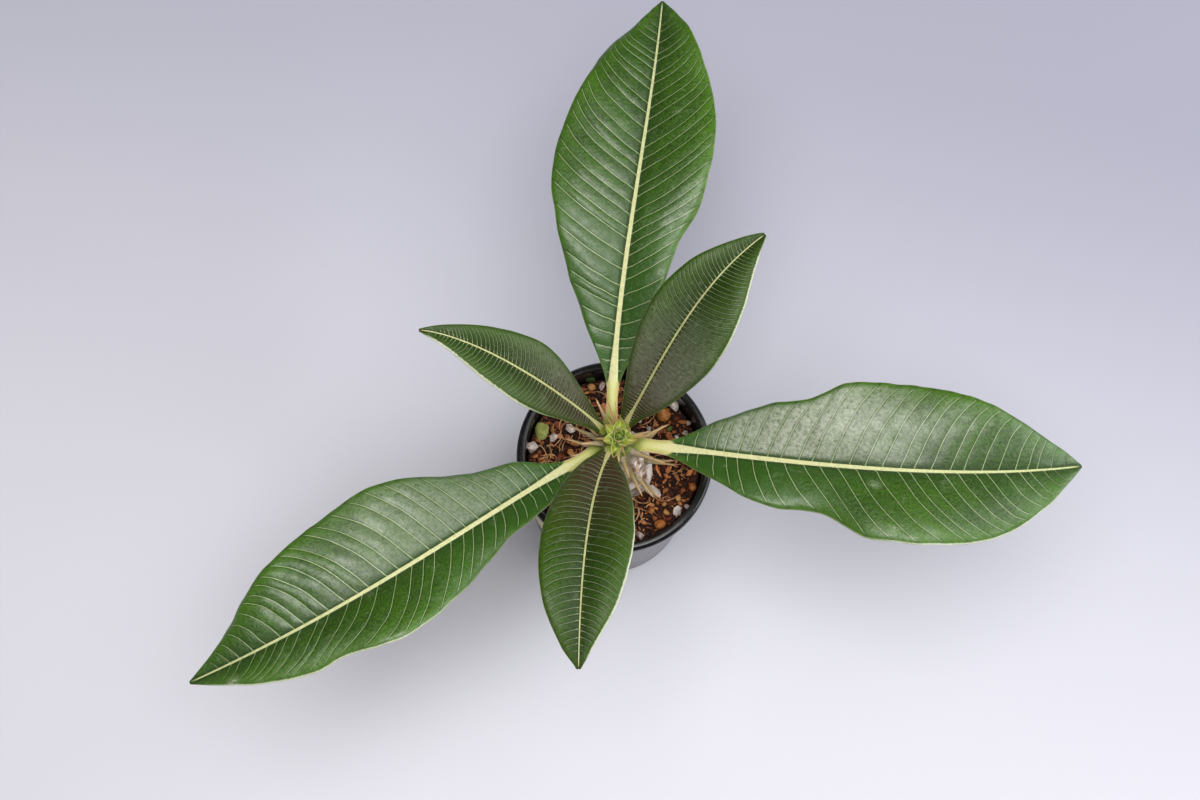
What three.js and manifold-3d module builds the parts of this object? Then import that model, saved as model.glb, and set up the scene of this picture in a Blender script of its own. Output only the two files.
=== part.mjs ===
// A young Pachypodium baronii in a round black nursery pot, in millimetres, +Z up.
// The origin is the centre of the pot's underside. A swollen, spiny stem stands in gritty soil
// and carries three full-grown leaves, three young ones and a growing tip.
import * as THREE from "three";
import { mergeVertices } from "three/addons/utils/BufferGeometryUtils.js";
import Module from "manifold-3d";

const wasm = await Module();
wasm.setup();

// Driving dimensions
const POT = {
  height: 75,
  rimRadius: 37.5,
  lipWidth: 3.3,
  lipDrop: 4.5,
  lipStep: 1.9,
  wall: 1.4,
  baseRadius: 32,
  plateLow: 1.5,
  plateHigh: 3,
  footWidth: 3,
  padRadius: 7,
  drainCount: 8,
  drainRadius: 2.6,
  drainCircle: 17.5,
  sides: 44,
};
const LABEL = { lowZ: 26, highZ: 62, azimuth: 213, halfSpan: 15, thick: 0.4, sides: 96 };
const GAP = 0.3;
const SOIL = { z: 66, crest: 0.6, shoulder: 2.5 };
const GRAINS = { count: 70, seed: 7, smallest: 1.4, largest: 4.4 };

// Stem: the middle of its foot at the soil and of its crown, and its radius against height
// from the taproot's tip to the crown
const STEM = {
  foot: [5, -4],
  crown: [-1, -4],
  crownZ: 116,
  rootZ: 30,
  sides: 24,
  profile: [
    [30, 2.5],
    [38, 5],
    [48, 7.4],
    [58, 9.2],
    [66, 10.2],
    [73, 10.4],
    [81, 9.9],
    [89, 9.1],
    [97, 8.2],
    [104, 7.5],
    [110, 6.9],
    [112.6, 6.1],
    [114.6, 4.6],
    [115.6, 2.6],
  ],
};
// Leaf nodes run down the stem from the youngest leaf by the golden angle,
// each with a swollen scar and a spine on either side of it
const NODES = {
  count: 17,
  youngestAzimuth: 260,
  turn: 137.5,
  topDrop: 2.2,
  spacing: 0.9,
  spacingPower: 1.32,
  scarRise: 1,
  scarWidth: 2.8,
};
const SPINE = { spread: 20, flare: 3, rootRadius: 1.4, rootDepth: 2.5, sides: 5 };

// Each leaf: the curve of its midrib, its half-width on both sides as [share of the midrib, mm],
// how its halves fold up and roll over towards the margin, the twist about the midrib in degrees
// and the waves of its margin
const LEAVES = [
  {
    name: "leaf_back",
    large: true,
    rib: [[-3, 1, 110], [-8, 46, 139], [-1, 108, 143], [-2, 163, 129]],
    right: [
      [0, 2.9], [0.1, 3], [0.2, 8.9], [0.33, 15.6], [0.41, 18.2], [0.5, 24.4],
      [0.64, 26.2], [0.75, 22.8], [0.88, 14], [0.95, 7.2], [1, 0.6],
    ],
    left: [
      [0, 2.9], [0.1, 3], [0.2, 10], [0.32, 19.6], [0.45, 27.6], [0.53, 30.6],
      [0.64, 29.2], [0.75, 23.8], [0.86, 17], [0.95, 6.2], [1, 0.6],
    ],
    fold: 0.42,
    roll: 0.22,
    twist: 8,
    wave: { height: 1.8, count: 3.2, phase: 0.1 },
  },
  {
    name: "leaf_right",
    large: true,
    rib: [[4, -3, 106.5], [36, -7, 122.5], [105, -17, 149], [161, 1, 131]],
    right: [
      [0, 2.9], [0.1, 3.1], [0.2, 9.2], [0.33, 17.2], [0.45, 17.8], [0.54, 25.6],
      [0.7, 26.4], [0.8, 22.6], [0.9, 12.8], [0.95, 6.4], [1, 0.6],
    ],
    left: [
      [0, 2.9], [0.1, 3.1], [0.2, 12.2], [0.3, 18.8], [0.4, 21.8], [0.48, 28.4],
      [0.62, 29.6], [0.75, 25.4], [0.86, 17.2], [0.95, 8], [1, 0.6],
    ],
    fold: 0.42,
    roll: 0.22,
    twist: 0,
    wave: { height: 2.2, count: 2.6, phase: 0.4 },
  },
  {
    name: "leaf_left",
    large: true,
    rib: [[-5, -5, 107], [-49, -45, 128], [-77, -79, 152], [-134, -107, 121]],
    right: [
      [0, 2.9], [0.1, 3], [0.2, 11.6], [0.3, 17.2], [0.42, 25.8], [0.52, 29.8],
      [0.65, 27.8], [0.78, 21], [0.88, 11.5], [0.95, 4.4], [1, 0.6],
    ],
    left: [
      [0, 2.9], [0.1, 3.2], [0.2, 8.9], [0.33, 12.2], [0.45, 18.2], [0.58, 22.6],
      [0.69, 17], [0.76, 16.4], [0.86, 11.2], [0.95, 4.4], [1, 0.6],
    ],
    fold: 0.42,
    roll: 0.22,
    twist: -8,
    wave: { height: 1.9, count: 3, phase: 0.7 },
  },
  {
    name: "leaf_young_left",
    large: false,
    rib: [[-5, -1.5, 113], [-18, 4, 131], [-50, 14, 160], [-71, 14, 158]],
    right: [[0, 1.6], [0.1, 2.6], [0.2, 4.9], [0.4, 9.8], [0.53, 11.2], [0.7, 8.8], [0.9, 3.5], [1, 0.5]],
    left: [[0, 1.6], [0.1, 3.4], [0.2, 5.9], [0.4, 10.5], [0.54, 11.8], [0.7, 10.1], [0.9, 4.1], [1, 0.5]],
    fold: 0.6,
    roll: 0.3,
    twist: 0,
    wave: { height: 0.5, count: 2, phase: 0.2 },
  },
  {
    name: "leaf_young_front",
    large: false,
    rib: [[-2, -7, 114], [-9, -30, 133], [-8, -61, 154], [-5, -90, 142]],
    right: [[0, 1.6], [0.1, 5], [0.2, 8.7], [0.35, 12.7], [0.54, 15.3], [0.75, 13.2], [0.92, 6], [1, 0.5]],
    left: [[0, 1.6], [0.1, 5.4], [0.2, 10], [0.35, 14], [0.54, 15.9], [0.75, 12.6], [0.92, 4.8], [1, 0.5]],
    fold: 0.5,
    roll: 0.3,
    twist: 0,
    wave: { height: 0.5, count: 2, phase: 0.6 },
  },
  {
    name: "leaf_young_back",
    large: false,
    rib: [[1, 0, 114], [10, 15, 135], [18, 38, 165], [41, 60, 164]],
    right: [[0, 1.6], [0.1, 4.7], [0.2, 9.4], [0.38, 15.2], [0.54, 17.9], [0.72, 15.1], [0.9, 6.4], [1, 0.5]],
    left: [[0, 1.6], [0.1, 4.2], [0.2, 6.7], [0.38, 11.1], [0.56, 13.4], [0.74, 10.9], [0.9, 4.9], [1, 0.5]],
    fold: 0.6,
    roll: 0.3,
    twist: 0,
    wave: { height: 0.5, count: 2, phase: 0.9 },
  },
];
// How a leaf is built up by age: where the blade leaves the petiole, its pairs of side veins and
// how they sweep forward, the half-width and depth of the midrib from base to tip,
// the relief between the veins and half the blade's thickness
const FULL_GROWN = {
  bladeStart: 0.1,
  petioleRows: 4,
  veins: 18,
  columns: 5,
  sweep: 0.2,
  ribHalf: [2.4, 0.45],
  ribDepth: [2.9, 0.3],
  ribRise: 0.3,
  quilt: 0.4,
  halfThick: 0.4,
};
const YOUNG = {
  bladeStart: 0.03,
  petioleRows: 1,
  veins: 15,
  columns: 4,
  sweep: 0.12,
  ribHalf: [1.25, 0.3],
  ribDepth: [1.6, 0.2],
  ribRise: 0.2,
  quilt: 0.28,
  halfThick: 0.35,
};
// The growing tip: a bud, and the tiny leaves round it as [azimuth, length, lean from upright]
const BUD = {
  at: [-0.8, -3.6, 115.7],
  coreRadius: 2,
  coreHeight: 4.5,
  leaves: [[20, 8.5, 30], [150, 7.5, 24], [265, 9.5, 38], [75, 6, 14]],
  leafWidth: 1.7,
};

const UP = new THREE.Vector3(0, 0, 1);
const degrees = THREE.MathUtils.degToRad;
const mix = THREE.MathUtils.lerp;
const smooth = THREE.MathUtils.smoothstep;

// A solid from a closed three.js geometry
function solidFrom(geometry) {
  const bare = geometry.clone();
  bare.deleteAttribute("normal");
  bare.deleteAttribute("uv");
  const merged = mergeVertices(bare, 1e-4);
  return new wasm.Manifold(
    new wasm.Mesh({
      numProp: 3,
      vertProperties: new Float32Array(merged.attributes.position.array),
      triVerts: new Uint32Array(merged.index.array),
    }),
  );
}

// A flat-shaded three.js geometry from a solid
function geometryFrom(solid) {
  const mesh = solid.getMesh();
  const geometry = new THREE.BufferGeometry();
  geometry.setAttribute("position", new THREE.BufferAttribute(mesh.vertProperties, 3));
  geometry.setIndex(new THREE.BufferAttribute(mesh.triVerts, 1));
  const flat = geometry.toNonIndexed();
  flat.computeVertexNormals();
  return flat;
}

// The largest body of a solid, without the scraps that a cut leaves
function largestBody(solid) {
  return solid.decompose().sort((a, b) => b.volume() - a.volume())[0];
}

function paint(colour, roughness) {
  return new THREE.MeshStandardMaterial({ color: colour, roughness, metalness: 0 });
}

function named(name, solid, material) {
  const mesh = new THREE.Mesh(geometryFrom(solid), material);
  mesh.name = name;
  return mesh;
}

// A geometry turned about +Z from [radius, height] pairs that run up its outside
function turned(profile, sides) {
  const points = profile.map(([r, z]) => new THREE.Vector2(r, z));
  return new THREE.LatheGeometry(points, sides).rotateX(Math.PI / 2);
}

// A steady stream of random numbers from 0 to 1
function randomStream(seed) {
  let state = seed;
  return () => {
    state = (state * 1664525 + 1013904223) % 4294967296;
    return state / 4294967296;
  };
}

// A smooth value at a share of the way, from [share, value] stations
function stationValue(stations, share) {
  const last = stations.length - 1;
  let i = 0;
  while (i < last - 1 && stations[i + 1][0] <= share) i++;
  const slopeAt = (k) => {
    const [s0, v0] = stations[Math.max(k - 1, 0)];
    const [s1, v1] = stations[Math.min(k + 1, last)];
    return (v1 - v0) / (s1 - s0);
  };
  const [s0, v0] = stations[i];
  const [s1, v1] = stations[i + 1];
  const step = s1 - s0;
  const t = THREE.MathUtils.clamp((share - s0) / step, 0, 1);
  const ease = t * t * (3 - 2 * t);
  const leave = t * (1 - t) * (1 - t) * step * slopeAt(i);
  const arrive = t * t * (t - 1) * step * slopeAt(i + 1);
  return mix(v0, v1, ease) + leave + arrive;
}

// Pot: a tapered cup with a solid lip, a foot ring, a centre pad and drain holes
const wallTop = POT.rimRadius - POT.lipStep;
const innerTop = POT.rimRadius - POT.lipWidth;
const outerAt = (z) => mix(POT.baseRadius, wallTop, z / POT.height);
const innerAt = (z) => mix(POT.baseRadius - POT.wall, innerTop, z / POT.height);

function makePot() {
  const footIn = POT.baseRadius - 1 - POT.footWidth;
  const lipLow = POT.height - POT.lipDrop;
  const profile = [
    [0, 0],
    [POT.padRadius, 0],
    [POT.padRadius + 1, POT.plateLow],
    [footIn - 1, POT.plateLow],
    [footIn, 0],
    [POT.baseRadius - 1, 0],
    [POT.baseRadius, 1],
    [outerAt(lipLow), lipLow],
    [POT.rimRadius, lipLow + 0.6],
    [POT.rimRadius, POT.height - 1.1],
    [POT.rimRadius - 1.1, POT.height],
    [innerTop + 0.6, POT.height],
    [innerTop, POT.height - 0.7],
    [innerAt(POT.plateHigh + 1.5), POT.plateHigh + 1.5],
    [innerAt(POT.plateHigh) - 1.5, POT.plateHigh],
    [0, POT.plateHigh],
  ];
  const drill = new THREE.CylinderGeometry(POT.drainRadius, POT.drainRadius, 12, 12);
  drill.rotateX(Math.PI / 2);
  let pot = solidFrom(turned(profile, POT.sides));
  for (let i = 0; i < POT.drainCount; i++) {
    const turn = degrees((360 * (i + 0.5)) / POT.drainCount);
    const hole = drill.clone();
    hole.translate(POT.drainCircle * Math.cos(turn), POT.drainCircle * Math.sin(turn), 2);
    pot = pot.subtract(solidFrom(hole));
  }
  return pot;
}

// Label: a bare sticker that follows the pot's wall
function makeLabel() {
  const face = (offset, z) => [outerAt(z) + offset, z];
  const profile = [
    face(GAP, LABEL.lowZ),
    face(GAP + LABEL.thick, LABEL.lowZ),
    face(GAP + LABEL.thick, LABEL.highZ),
    face(GAP, LABEL.highZ),
    face(GAP, LABEL.lowZ),
  ];
  const reach = POT.rimRadius * 2;
  const side = reach * Math.tan(degrees(LABEL.halfSpan));
  const wedge = new THREE.Shape([
    new THREE.Vector2(0, 0),
    new THREE.Vector2(reach, -side),
    new THREE.Vector2(reach, side),
  ]);
  const slice = new THREE.ExtrudeGeometry(wedge, { depth: POT.height, bevelEnabled: false });
  slice.rotateZ(degrees(LABEL.azimuth));
  return solidFrom(turned(profile, LABEL.sides)).intersect(solidFrom(slice));
}

// Stem: a bottle-shaped trunk that leans a little from its foot to its crown
function stemAxis(z) {
  const rise = (z - SOIL.z) / (STEM.crownZ - SOIL.z);
  return [mix(STEM.foot[0], STEM.crown[0], rise), mix(STEM.foot[1], STEM.crown[1], rise)];
}

function stemNodes() {
  const nodes = [];
  for (let k = 0; k < NODES.count; k++) {
    const z = STEM.crownZ - NODES.topDrop - NODES.spacing * Math.pow(k, NODES.spacingPower);
    const [x, y] = stemAxis(z);
    nodes.push({
      x,
      y,
      z,
      radius: stationValue(STEM.profile, z),
      azimuth: degrees(NODES.youngestAzimuth + NODES.turn * k),
      spineLength: 9 + 4 * smooth(k, 0, 4) - 3 * smooth(k, 10, 16),
      climb: mix(0.8, 0.15, smooth(k, 0, 9)),
    });
  }
  return nodes;
}

// How far the scars swell the trunk at a point of its surface
function scarRise(x, y, z, nodes) {
  let rise = 0;
  for (const node of nodes) {
    const dx = x - node.x - node.radius * Math.cos(node.azimuth);
    const dy = y - node.y - node.radius * Math.sin(node.azimuth);
    const dz = z - node.z;
    const away = (dx * dx + dy * dy + dz * dz) / (NODES.scarWidth * NODES.scarWidth);
    rise = Math.max(rise, NODES.scarRise * Math.exp(-away));
  }
  return rise;
}

function makeTrunk(extra, nodes) {
  const profile = [
    [0, STEM.rootZ - 2 - extra],
    ...STEM.profile.map(([z, r]) => [r, z]),
    [0, STEM.crownZ + extra],
  ];
  const trunk = turned(profile, STEM.sides);
  const place = trunk.attributes.position;
  for (let i = 0; i < place.count; i++) {
    const [x, y, z] = [place.getX(i), place.getY(i), place.getZ(i)];
    const [axisX, axisY] = stemAxis(z);
    const r = Math.hypot(x, y);
    const scar = z > SOIL.z + 3 ? scarRise(x + axisX, y + axisY, z, nodes) : 0;
    const grow = r > 0.01 ? (r + extra + scar) / r : 1;
    place.setXYZ(i, x * grow + axisX, y * grow + axisY, z);
  }
  return solidFrom(trunk);
}

function makeSpine(node, side, extra) {
  const rootTurn = node.azimuth + degrees(side * SPINE.spread);
  const tipTurn = node.azimuth + degrees(side * (SPINE.spread + SPINE.flare));
  const profile = [
    [0, -SPINE.rootDepth],
    [SPINE.rootRadius + extra, -SPINE.rootDepth],
    [SPINE.rootRadius * 0.9 + extra, 0.8],
    [SPINE.rootRadius * 0.36 + extra, node.spineLength * 0.5],
    [0, node.spineLength + extra * 3],
  ];
  const shape = turned(profile, SPINE.sides);
  const out = new THREE.Vector3(Math.cos(tipTurn), Math.sin(tipTurn), node.climb).normalize();
  shape.applyQuaternion(new THREE.Quaternion().setFromUnitVectors(UP, out));
  shape.translate(
    node.x + node.radius * Math.cos(rootTurn),
    node.y + node.radius * Math.sin(rootTurn),
    node.z,
  );
  return solidFrom(shape);
}

function makeStem(extra) {
  const nodes = stemNodes();
  const parts = [makeTrunk(extra, nodes)];
  for (const node of nodes) {
    parts.push(makeSpine(node, -1, extra), makeSpine(node, 1, extra));
  }
  return wasm.Manifold.union(parts);
}

// The midrib's point and its across and up directions at a share of its length
function ribFrame(curve, share, twist) {
  const point = curve.getPointAt(share);
  const along = curve.getTangentAt(share);
  const across = new THREE.Vector3().crossVectors(along, UP).normalize();
  const up = new THREE.Vector3().crossVectors(across, along);
  const turn = degrees(twist) * smooth(share, 0, 0.4);
  const side = across.clone().multiplyScalar(Math.cos(turn)).addScaledVector(up, Math.sin(turn));
  const lift = up.multiplyScalar(Math.cos(turn)).addScaledVector(across, -Math.sin(turn));
  return { point, side, lift };
}

// A leaf's rows from base to tip: puff is -1 on a side vein and 1 between two
function leafRows(kind) {
  const rows = [];
  for (let i = 0; i < kind.petioleRows; i++) {
    rows.push({ share: (kind.bladeStart * i) / kind.petioleRows, puff: 0 });
  }
  const steps = kind.veins * 2;
  for (let i = 0; i < steps; i++) {
    const done = 1 - Math.pow(1 - i / steps, 0.93);
    rows.push({ share: mix(kind.bladeStart, 1, done), puff: i % 2 ? 1 : -1 });
  }
  rows.push({ share: 1, puff: 0 });
  return rows;
}

// The upper and lower points of a leaf's sheet on one row, j columns out from the midrib
function leafPoints(leaf, kind, curve, row, j) {
  const { bladeStart } = kind;
  const hand = Math.sign(j);
  const out = Math.max(0, (Math.abs(j) - 1) / (kind.columns - 1));
  const sweep = kind.sweep * smooth(row.share, bladeStart, bladeStart + 0.25);
  const share = Math.min(1, row.share + sweep * Math.pow(out, 1.6) * (1 - row.share));
  const { point, side, lift } = ribFrame(curve, share, leaf.twist);

  const ribHalf = mix(kind.ribHalf[0], kind.ribHalf[1], Math.sqrt(share));
  const half = Math.max(stationValue(j > 0 ? leaf.right : leaf.left, share), ribHalf + 0.15);
  const x = j === 0 ? 0 : mix(ribHalf, half, out);
  const s = x / half;

  const blade = smooth(share, bladeStart, bladeStart + 0.12);
  const beat = leaf.wave.count * share + leaf.wave.phase + 0.23 * hand;
  const wave = leaf.wave.height * Math.sin(2 * Math.PI * beat) * smooth(half, 3, 14);
  const folded = half * (leaf.fold * s - leaf.roll * s * s * s);
  const swell = Math.sin(Math.PI * Math.pow(out, 0.8)) * smooth(half, 2, 8);
  const height = (folded + wave * s * s + row.puff * kind.quilt * swell) * blade;

  const depth = mix(kind.ribDepth[0], kind.ribDepth[1], Math.sqrt(share));
  const below = { 0: depth, 1: depth * 0.35 }[Math.abs(j)] ?? 0;
  const above = j === 0 ? kind.ribRise : 0;
  const middle = point.addScaledVector(side, hand * x).addScaledVector(lift, height);
  return [
    middle.clone().addScaledVector(lift, kind.halfThick + above),
    middle.clone().addScaledVector(lift, -kind.halfThick - below),
  ];
}

// Leaf: a thick sheet whose rows run along the side veins, quilted between them,
// with the midrib and petiole thickened below
function makeLeaf(leaf) {
  const kind = leaf.large ? FULL_GROWN : YOUNG;
  const curve = new THREE.CubicBezierCurve3(...leaf.rib.map((p) => new THREE.Vector3(...p)));
  const rows = leafRows(kind);
  const wide = kind.columns * 2 + 1;
  const upper = [];
  const lower = [];
  for (const row of rows) {
    for (let j = -kind.columns; j <= kind.columns; j++) {
      const [above, below] = leafPoints(leaf, kind, curve, row, j);
      upper.push(above);
      lower.push(below);
    }
  }

  const triangles = [];
  const under = upper.length;
  const quad = (a, b, c, d) => triangles.push(a, b, c, a, c, d);
  for (let i = 0; i + 1 < rows.length; i++) {
    const start = i * wide;
    const end = start + wide - 1;
    for (let a = start; a < end; a++) {
      const c = a + 1 + wide;
      quad(a, a + 1, c, c - 1);
      triangles.push(a + under, c + under, a + 1 + under, a + under, c - 1 + under, c + under);
    }
    quad(start, start + wide, start + wide + under, start + under);
    quad(end, end + under, end + wide + under, end + wide);
  }
  const tip = (rows.length - 1) * wide;
  for (let j = 0; j + 1 < wide; j++) {
    quad(j, j + under, j + 1 + under, j + 1);
    quad(tip + j, tip + j + 1, tip + j + 1 + under, tip + j + under);
  }

  const geometry = new THREE.BufferGeometry();
  const numbers = [...upper, ...lower].flatMap((p) => p.toArray());
  geometry.setAttribute("position", new THREE.Float32BufferAttribute(numbers, 3));
  geometry.setIndex(triangles);
  return solidFrom(geometry);
}

// Growing tip: a bud with a few small pointed leaves pressed round it
function makeGrowingTip() {
  const core = [
    [0, 0],
    [BUD.coreRadius, 0],
    [BUD.coreRadius, 1.2],
    [BUD.coreRadius * 0.6, BUD.coreHeight * 0.7],
    [0, BUD.coreHeight],
  ];
  const parts = [solidFrom(turned(core, 8))];
  for (const [azimuth, length, lean] of BUD.leaves) {
    const outline = [
      [0, 0],
      [BUD.leafWidth * 0.7, 0.3],
      [BUD.leafWidth, length * 0.35],
      [BUD.leafWidth * 0.55, length * 0.7],
      [0, length],
    ];
    const blade = turned(outline, 8);
    blade.scale(0.5, 1, 1);
    blade.rotateY(degrees(lean));
    blade.translate(BUD.coreRadius * 0.55, 0, 0.4);
    blade.rotateZ(degrees(azimuth));
    parts.push(solidFrom(blade));
  }
  return wasm.Manifold.union(parts).translate(BUD.at);
}

// One piece of grit or bark, a rough lump bedded in the soil
function makeGrain(random, place) {
  const size = mix(GRAINS.smallest, GRAINS.largest, Math.pow(random(), 1.7));
  const reach = innerAt(SOIL.z) - GAP - size * 1.25;
  const from = Math.sqrt((place + 0.5) / GRAINS.count) * reach;
  const turn = place * degrees(NODES.turn) + random() * 0.6;
  const grain = new THREE.IcosahedronGeometry(size, 0);
  grain.scale(1 + 0.2 * random(), 0.8 + 0.2 * random(), 0.65 + 0.2 * random());
  grain.rotateX((random() - 0.5) * 0.9);
  grain.rotateZ(random() * Math.PI * 2);
  grain.translate(from * Math.cos(turn), from * Math.sin(turn), SOIL.z + size * 0.25);
  return solidFrom(grain);
}

// Soil: a plug that fills the pot, with grit and bark bedded in its surface
// and a plain hole for the root
function makeSoil() {
  const low = POT.plateHigh + GAP;
  const plug = [
    [0, low],
    [innerAt(low) - 2.2, low],
    [innerAt(low + 2) - GAP, low + 2],
    [innerAt(SOIL.z - 1) - GAP, SOIL.z - 1],
    [innerAt(SOIL.z) - SOIL.shoulder, SOIL.z],
    [0, SOIL.z + SOIL.crest],
  ];
  const random = randomStream(GRAINS.seed);
  const parts = [solidFrom(turned(plug, POT.sides))];
  for (let place = 0; place < GRAINS.count; place++) {
    parts.push(makeGrain(random, place));
  }
  return largestBody(wasm.Manifold.union(parts).subtract(makeTrunk(GAP, stemNodes())));
}

const potPlastic = paint(0x1c1b20, 0.42);
const labelPaper = paint(0xcfc79b, 0.75);
const grit = paint(0x5b3322, 0.92);
const bark = paint(0x8b8672, 0.7);
const youngGreen = paint(0x7fa23a, 0.5);
const leafGreen = paint(0x2f5a1c, 0.4);
const oliveGreen = paint(0x3b4a20, 0.42);

const stemRoom = makeStem(GAP);
const plant = new THREE.Group();
plant.add(named("pot", makePot(), potPlastic));
plant.add(named("pot_label", makeLabel(), labelPaper));
plant.add(named("soil", makeSoil(), grit));
plant.add(named("stem", makeStem(0), bark));
plant.add(named("growing_tip", largestBody(makeGrowingTip().subtract(stemRoom)), youngGreen));
for (const leaf of LEAVES) {
  const solid = largestBody(makeLeaf(leaf).subtract(stemRoom));
  plant.add(named(leaf.name, solid, leaf.large ? leafGreen : oliveGreen));
}

export default plant;
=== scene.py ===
"""A young Pachypodium baronii in its black nursery pot, finished piece by piece in the shared frame.

Each piece is shaped in millimetres and brought to metres as it is set down. The pieces follow in the
order in which the plant is put together: pot, label, soil, stem, growing tip and leaves. The studio
comes last."""
import math
from bisect import bisect_right
from random import Random

import bmesh
import bpy
from mathutils import Euler, Matrix, Vector, noise


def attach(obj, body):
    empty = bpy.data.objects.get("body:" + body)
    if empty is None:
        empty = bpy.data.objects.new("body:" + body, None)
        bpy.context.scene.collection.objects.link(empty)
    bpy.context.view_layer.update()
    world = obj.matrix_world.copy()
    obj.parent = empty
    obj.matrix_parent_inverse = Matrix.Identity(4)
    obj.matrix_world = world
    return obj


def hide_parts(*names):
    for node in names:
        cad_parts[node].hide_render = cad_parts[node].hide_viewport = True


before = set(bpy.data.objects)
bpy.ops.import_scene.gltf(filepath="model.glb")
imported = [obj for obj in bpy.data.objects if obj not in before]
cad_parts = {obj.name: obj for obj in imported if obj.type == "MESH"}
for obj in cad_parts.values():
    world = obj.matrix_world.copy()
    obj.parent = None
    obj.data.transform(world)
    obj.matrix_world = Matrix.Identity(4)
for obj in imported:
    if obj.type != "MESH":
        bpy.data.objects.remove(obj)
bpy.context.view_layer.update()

# Pot: a 75 mm round nursery pot, moulded in one piece from black polypropylene, with a stiff lip, a
# finely ribbed wall, a foot ring, a centre pad and eight drain holes. It stands on ring and pad.
POT_HEIGHT = 75
RIM_RADIUS = 37.5
LIP_WIDTH = 3.3
LIP_DROP = 4.5
LIP_STEP = 1.9
WALL = 1.4
BASE_RADIUS = 32
PLATE_LOW = 1.5
PLATE_HIGH = 3
FOOT_WIDTH = 3
PAD_RADIUS = 7
DRAIN_COUNT = 8
DRAIN_RADIUS = 2.6
DRAIN_CIRCLE = 17.5
POT_SIDES = 176
CORNER_ROUND = 0.32
HEIGHT_INSET = 0.02
SIDES_PER_RIB = 4
RIB_DEPTH = 0.09


def mix(first, second, share):
    return first + (second - first) * share


def smooth(value, low, high):
    """Eases from 0 at low to 1 at high."""
    share = min(1, max(0, (value - low) / (high - low)))
    return share * share * (3 - 2 * share)


def outer_at(z):
    return mix(BASE_RADIUS, RIM_RADIUS - LIP_STEP, z / POT_HEIGHT)


def inner_at(z):
    return mix(BASE_RADIUS - WALL, RIM_RADIUS - LIP_WIDTH, z / POT_HEIGHT)


def turn_profile(shape, profile, sides):
    """Spins (radius, height) pairs about the upright axis, closes the poles and turns the faces out."""
    points = [shape.verts.new((radius, 0, z)) for radius, z in profile]
    edges = [shape.edges.new(pair) for pair in zip(points, points[1:])]
    bmesh.ops.spin(
        shape, geom=points + edges, axis=(0, 0, 1), cent=(0, 0, 0), angle=2 * math.pi, steps=sides,
        use_merge=True,
    )
    bmesh.ops.remove_doubles(shape, verts=shape.verts, dist=1e-4)
    bmesh.ops.recalc_face_normals(shape, faces=shape.faces)


def round_edges(shape, width, sharper_than=30):
    """Rounds every edge that folds by more than an angle in degrees."""
    limit = math.radians(sharper_than)
    edges = [edge for edge in shape.edges if edge.calc_face_angle(0) > limit]
    bmesh.ops.bevel(
        shape, geom=edges, offset=width, segments=3, profile=0.5, affect="EDGES", material=-1,
        clamp_overlap=True,
    )


def add_object(name, shape, *finishes):
    """Brings a shape in millimetres to metres and adds it to the scene."""
    bmesh.ops.scale(shape, vec=(0.001, 0.001, 0.001), verts=shape.verts)
    mesh = bpy.data.meshes.new(name)
    shape.to_mesh(mesh)
    shape.free()
    for finish in finishes:
        mesh.materials.append(finish)
    added = bpy.data.objects.new(name, mesh)
    bpy.context.collection.objects.link(added)
    return added


def smooth_shade(mesh, sharp=40):
    """Shades a mesh smooth, but for edges that fold by more than an angle in degrees."""
    mesh.shade_smooth()
    mesh.set_sharp_from_angle(angle=math.radians(sharp))


def set_down(name, shape, finish, slot, *nodes, sharp=40):
    """Adds a piece that rides in the one body and takes the place of its CAD nodes."""
    piece = add_object(name, shape, finish)
    smooth_shade(piece.data, sharp)
    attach(piece, "root")
    if nodes:
        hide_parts(*nodes)
    return piece


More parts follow.
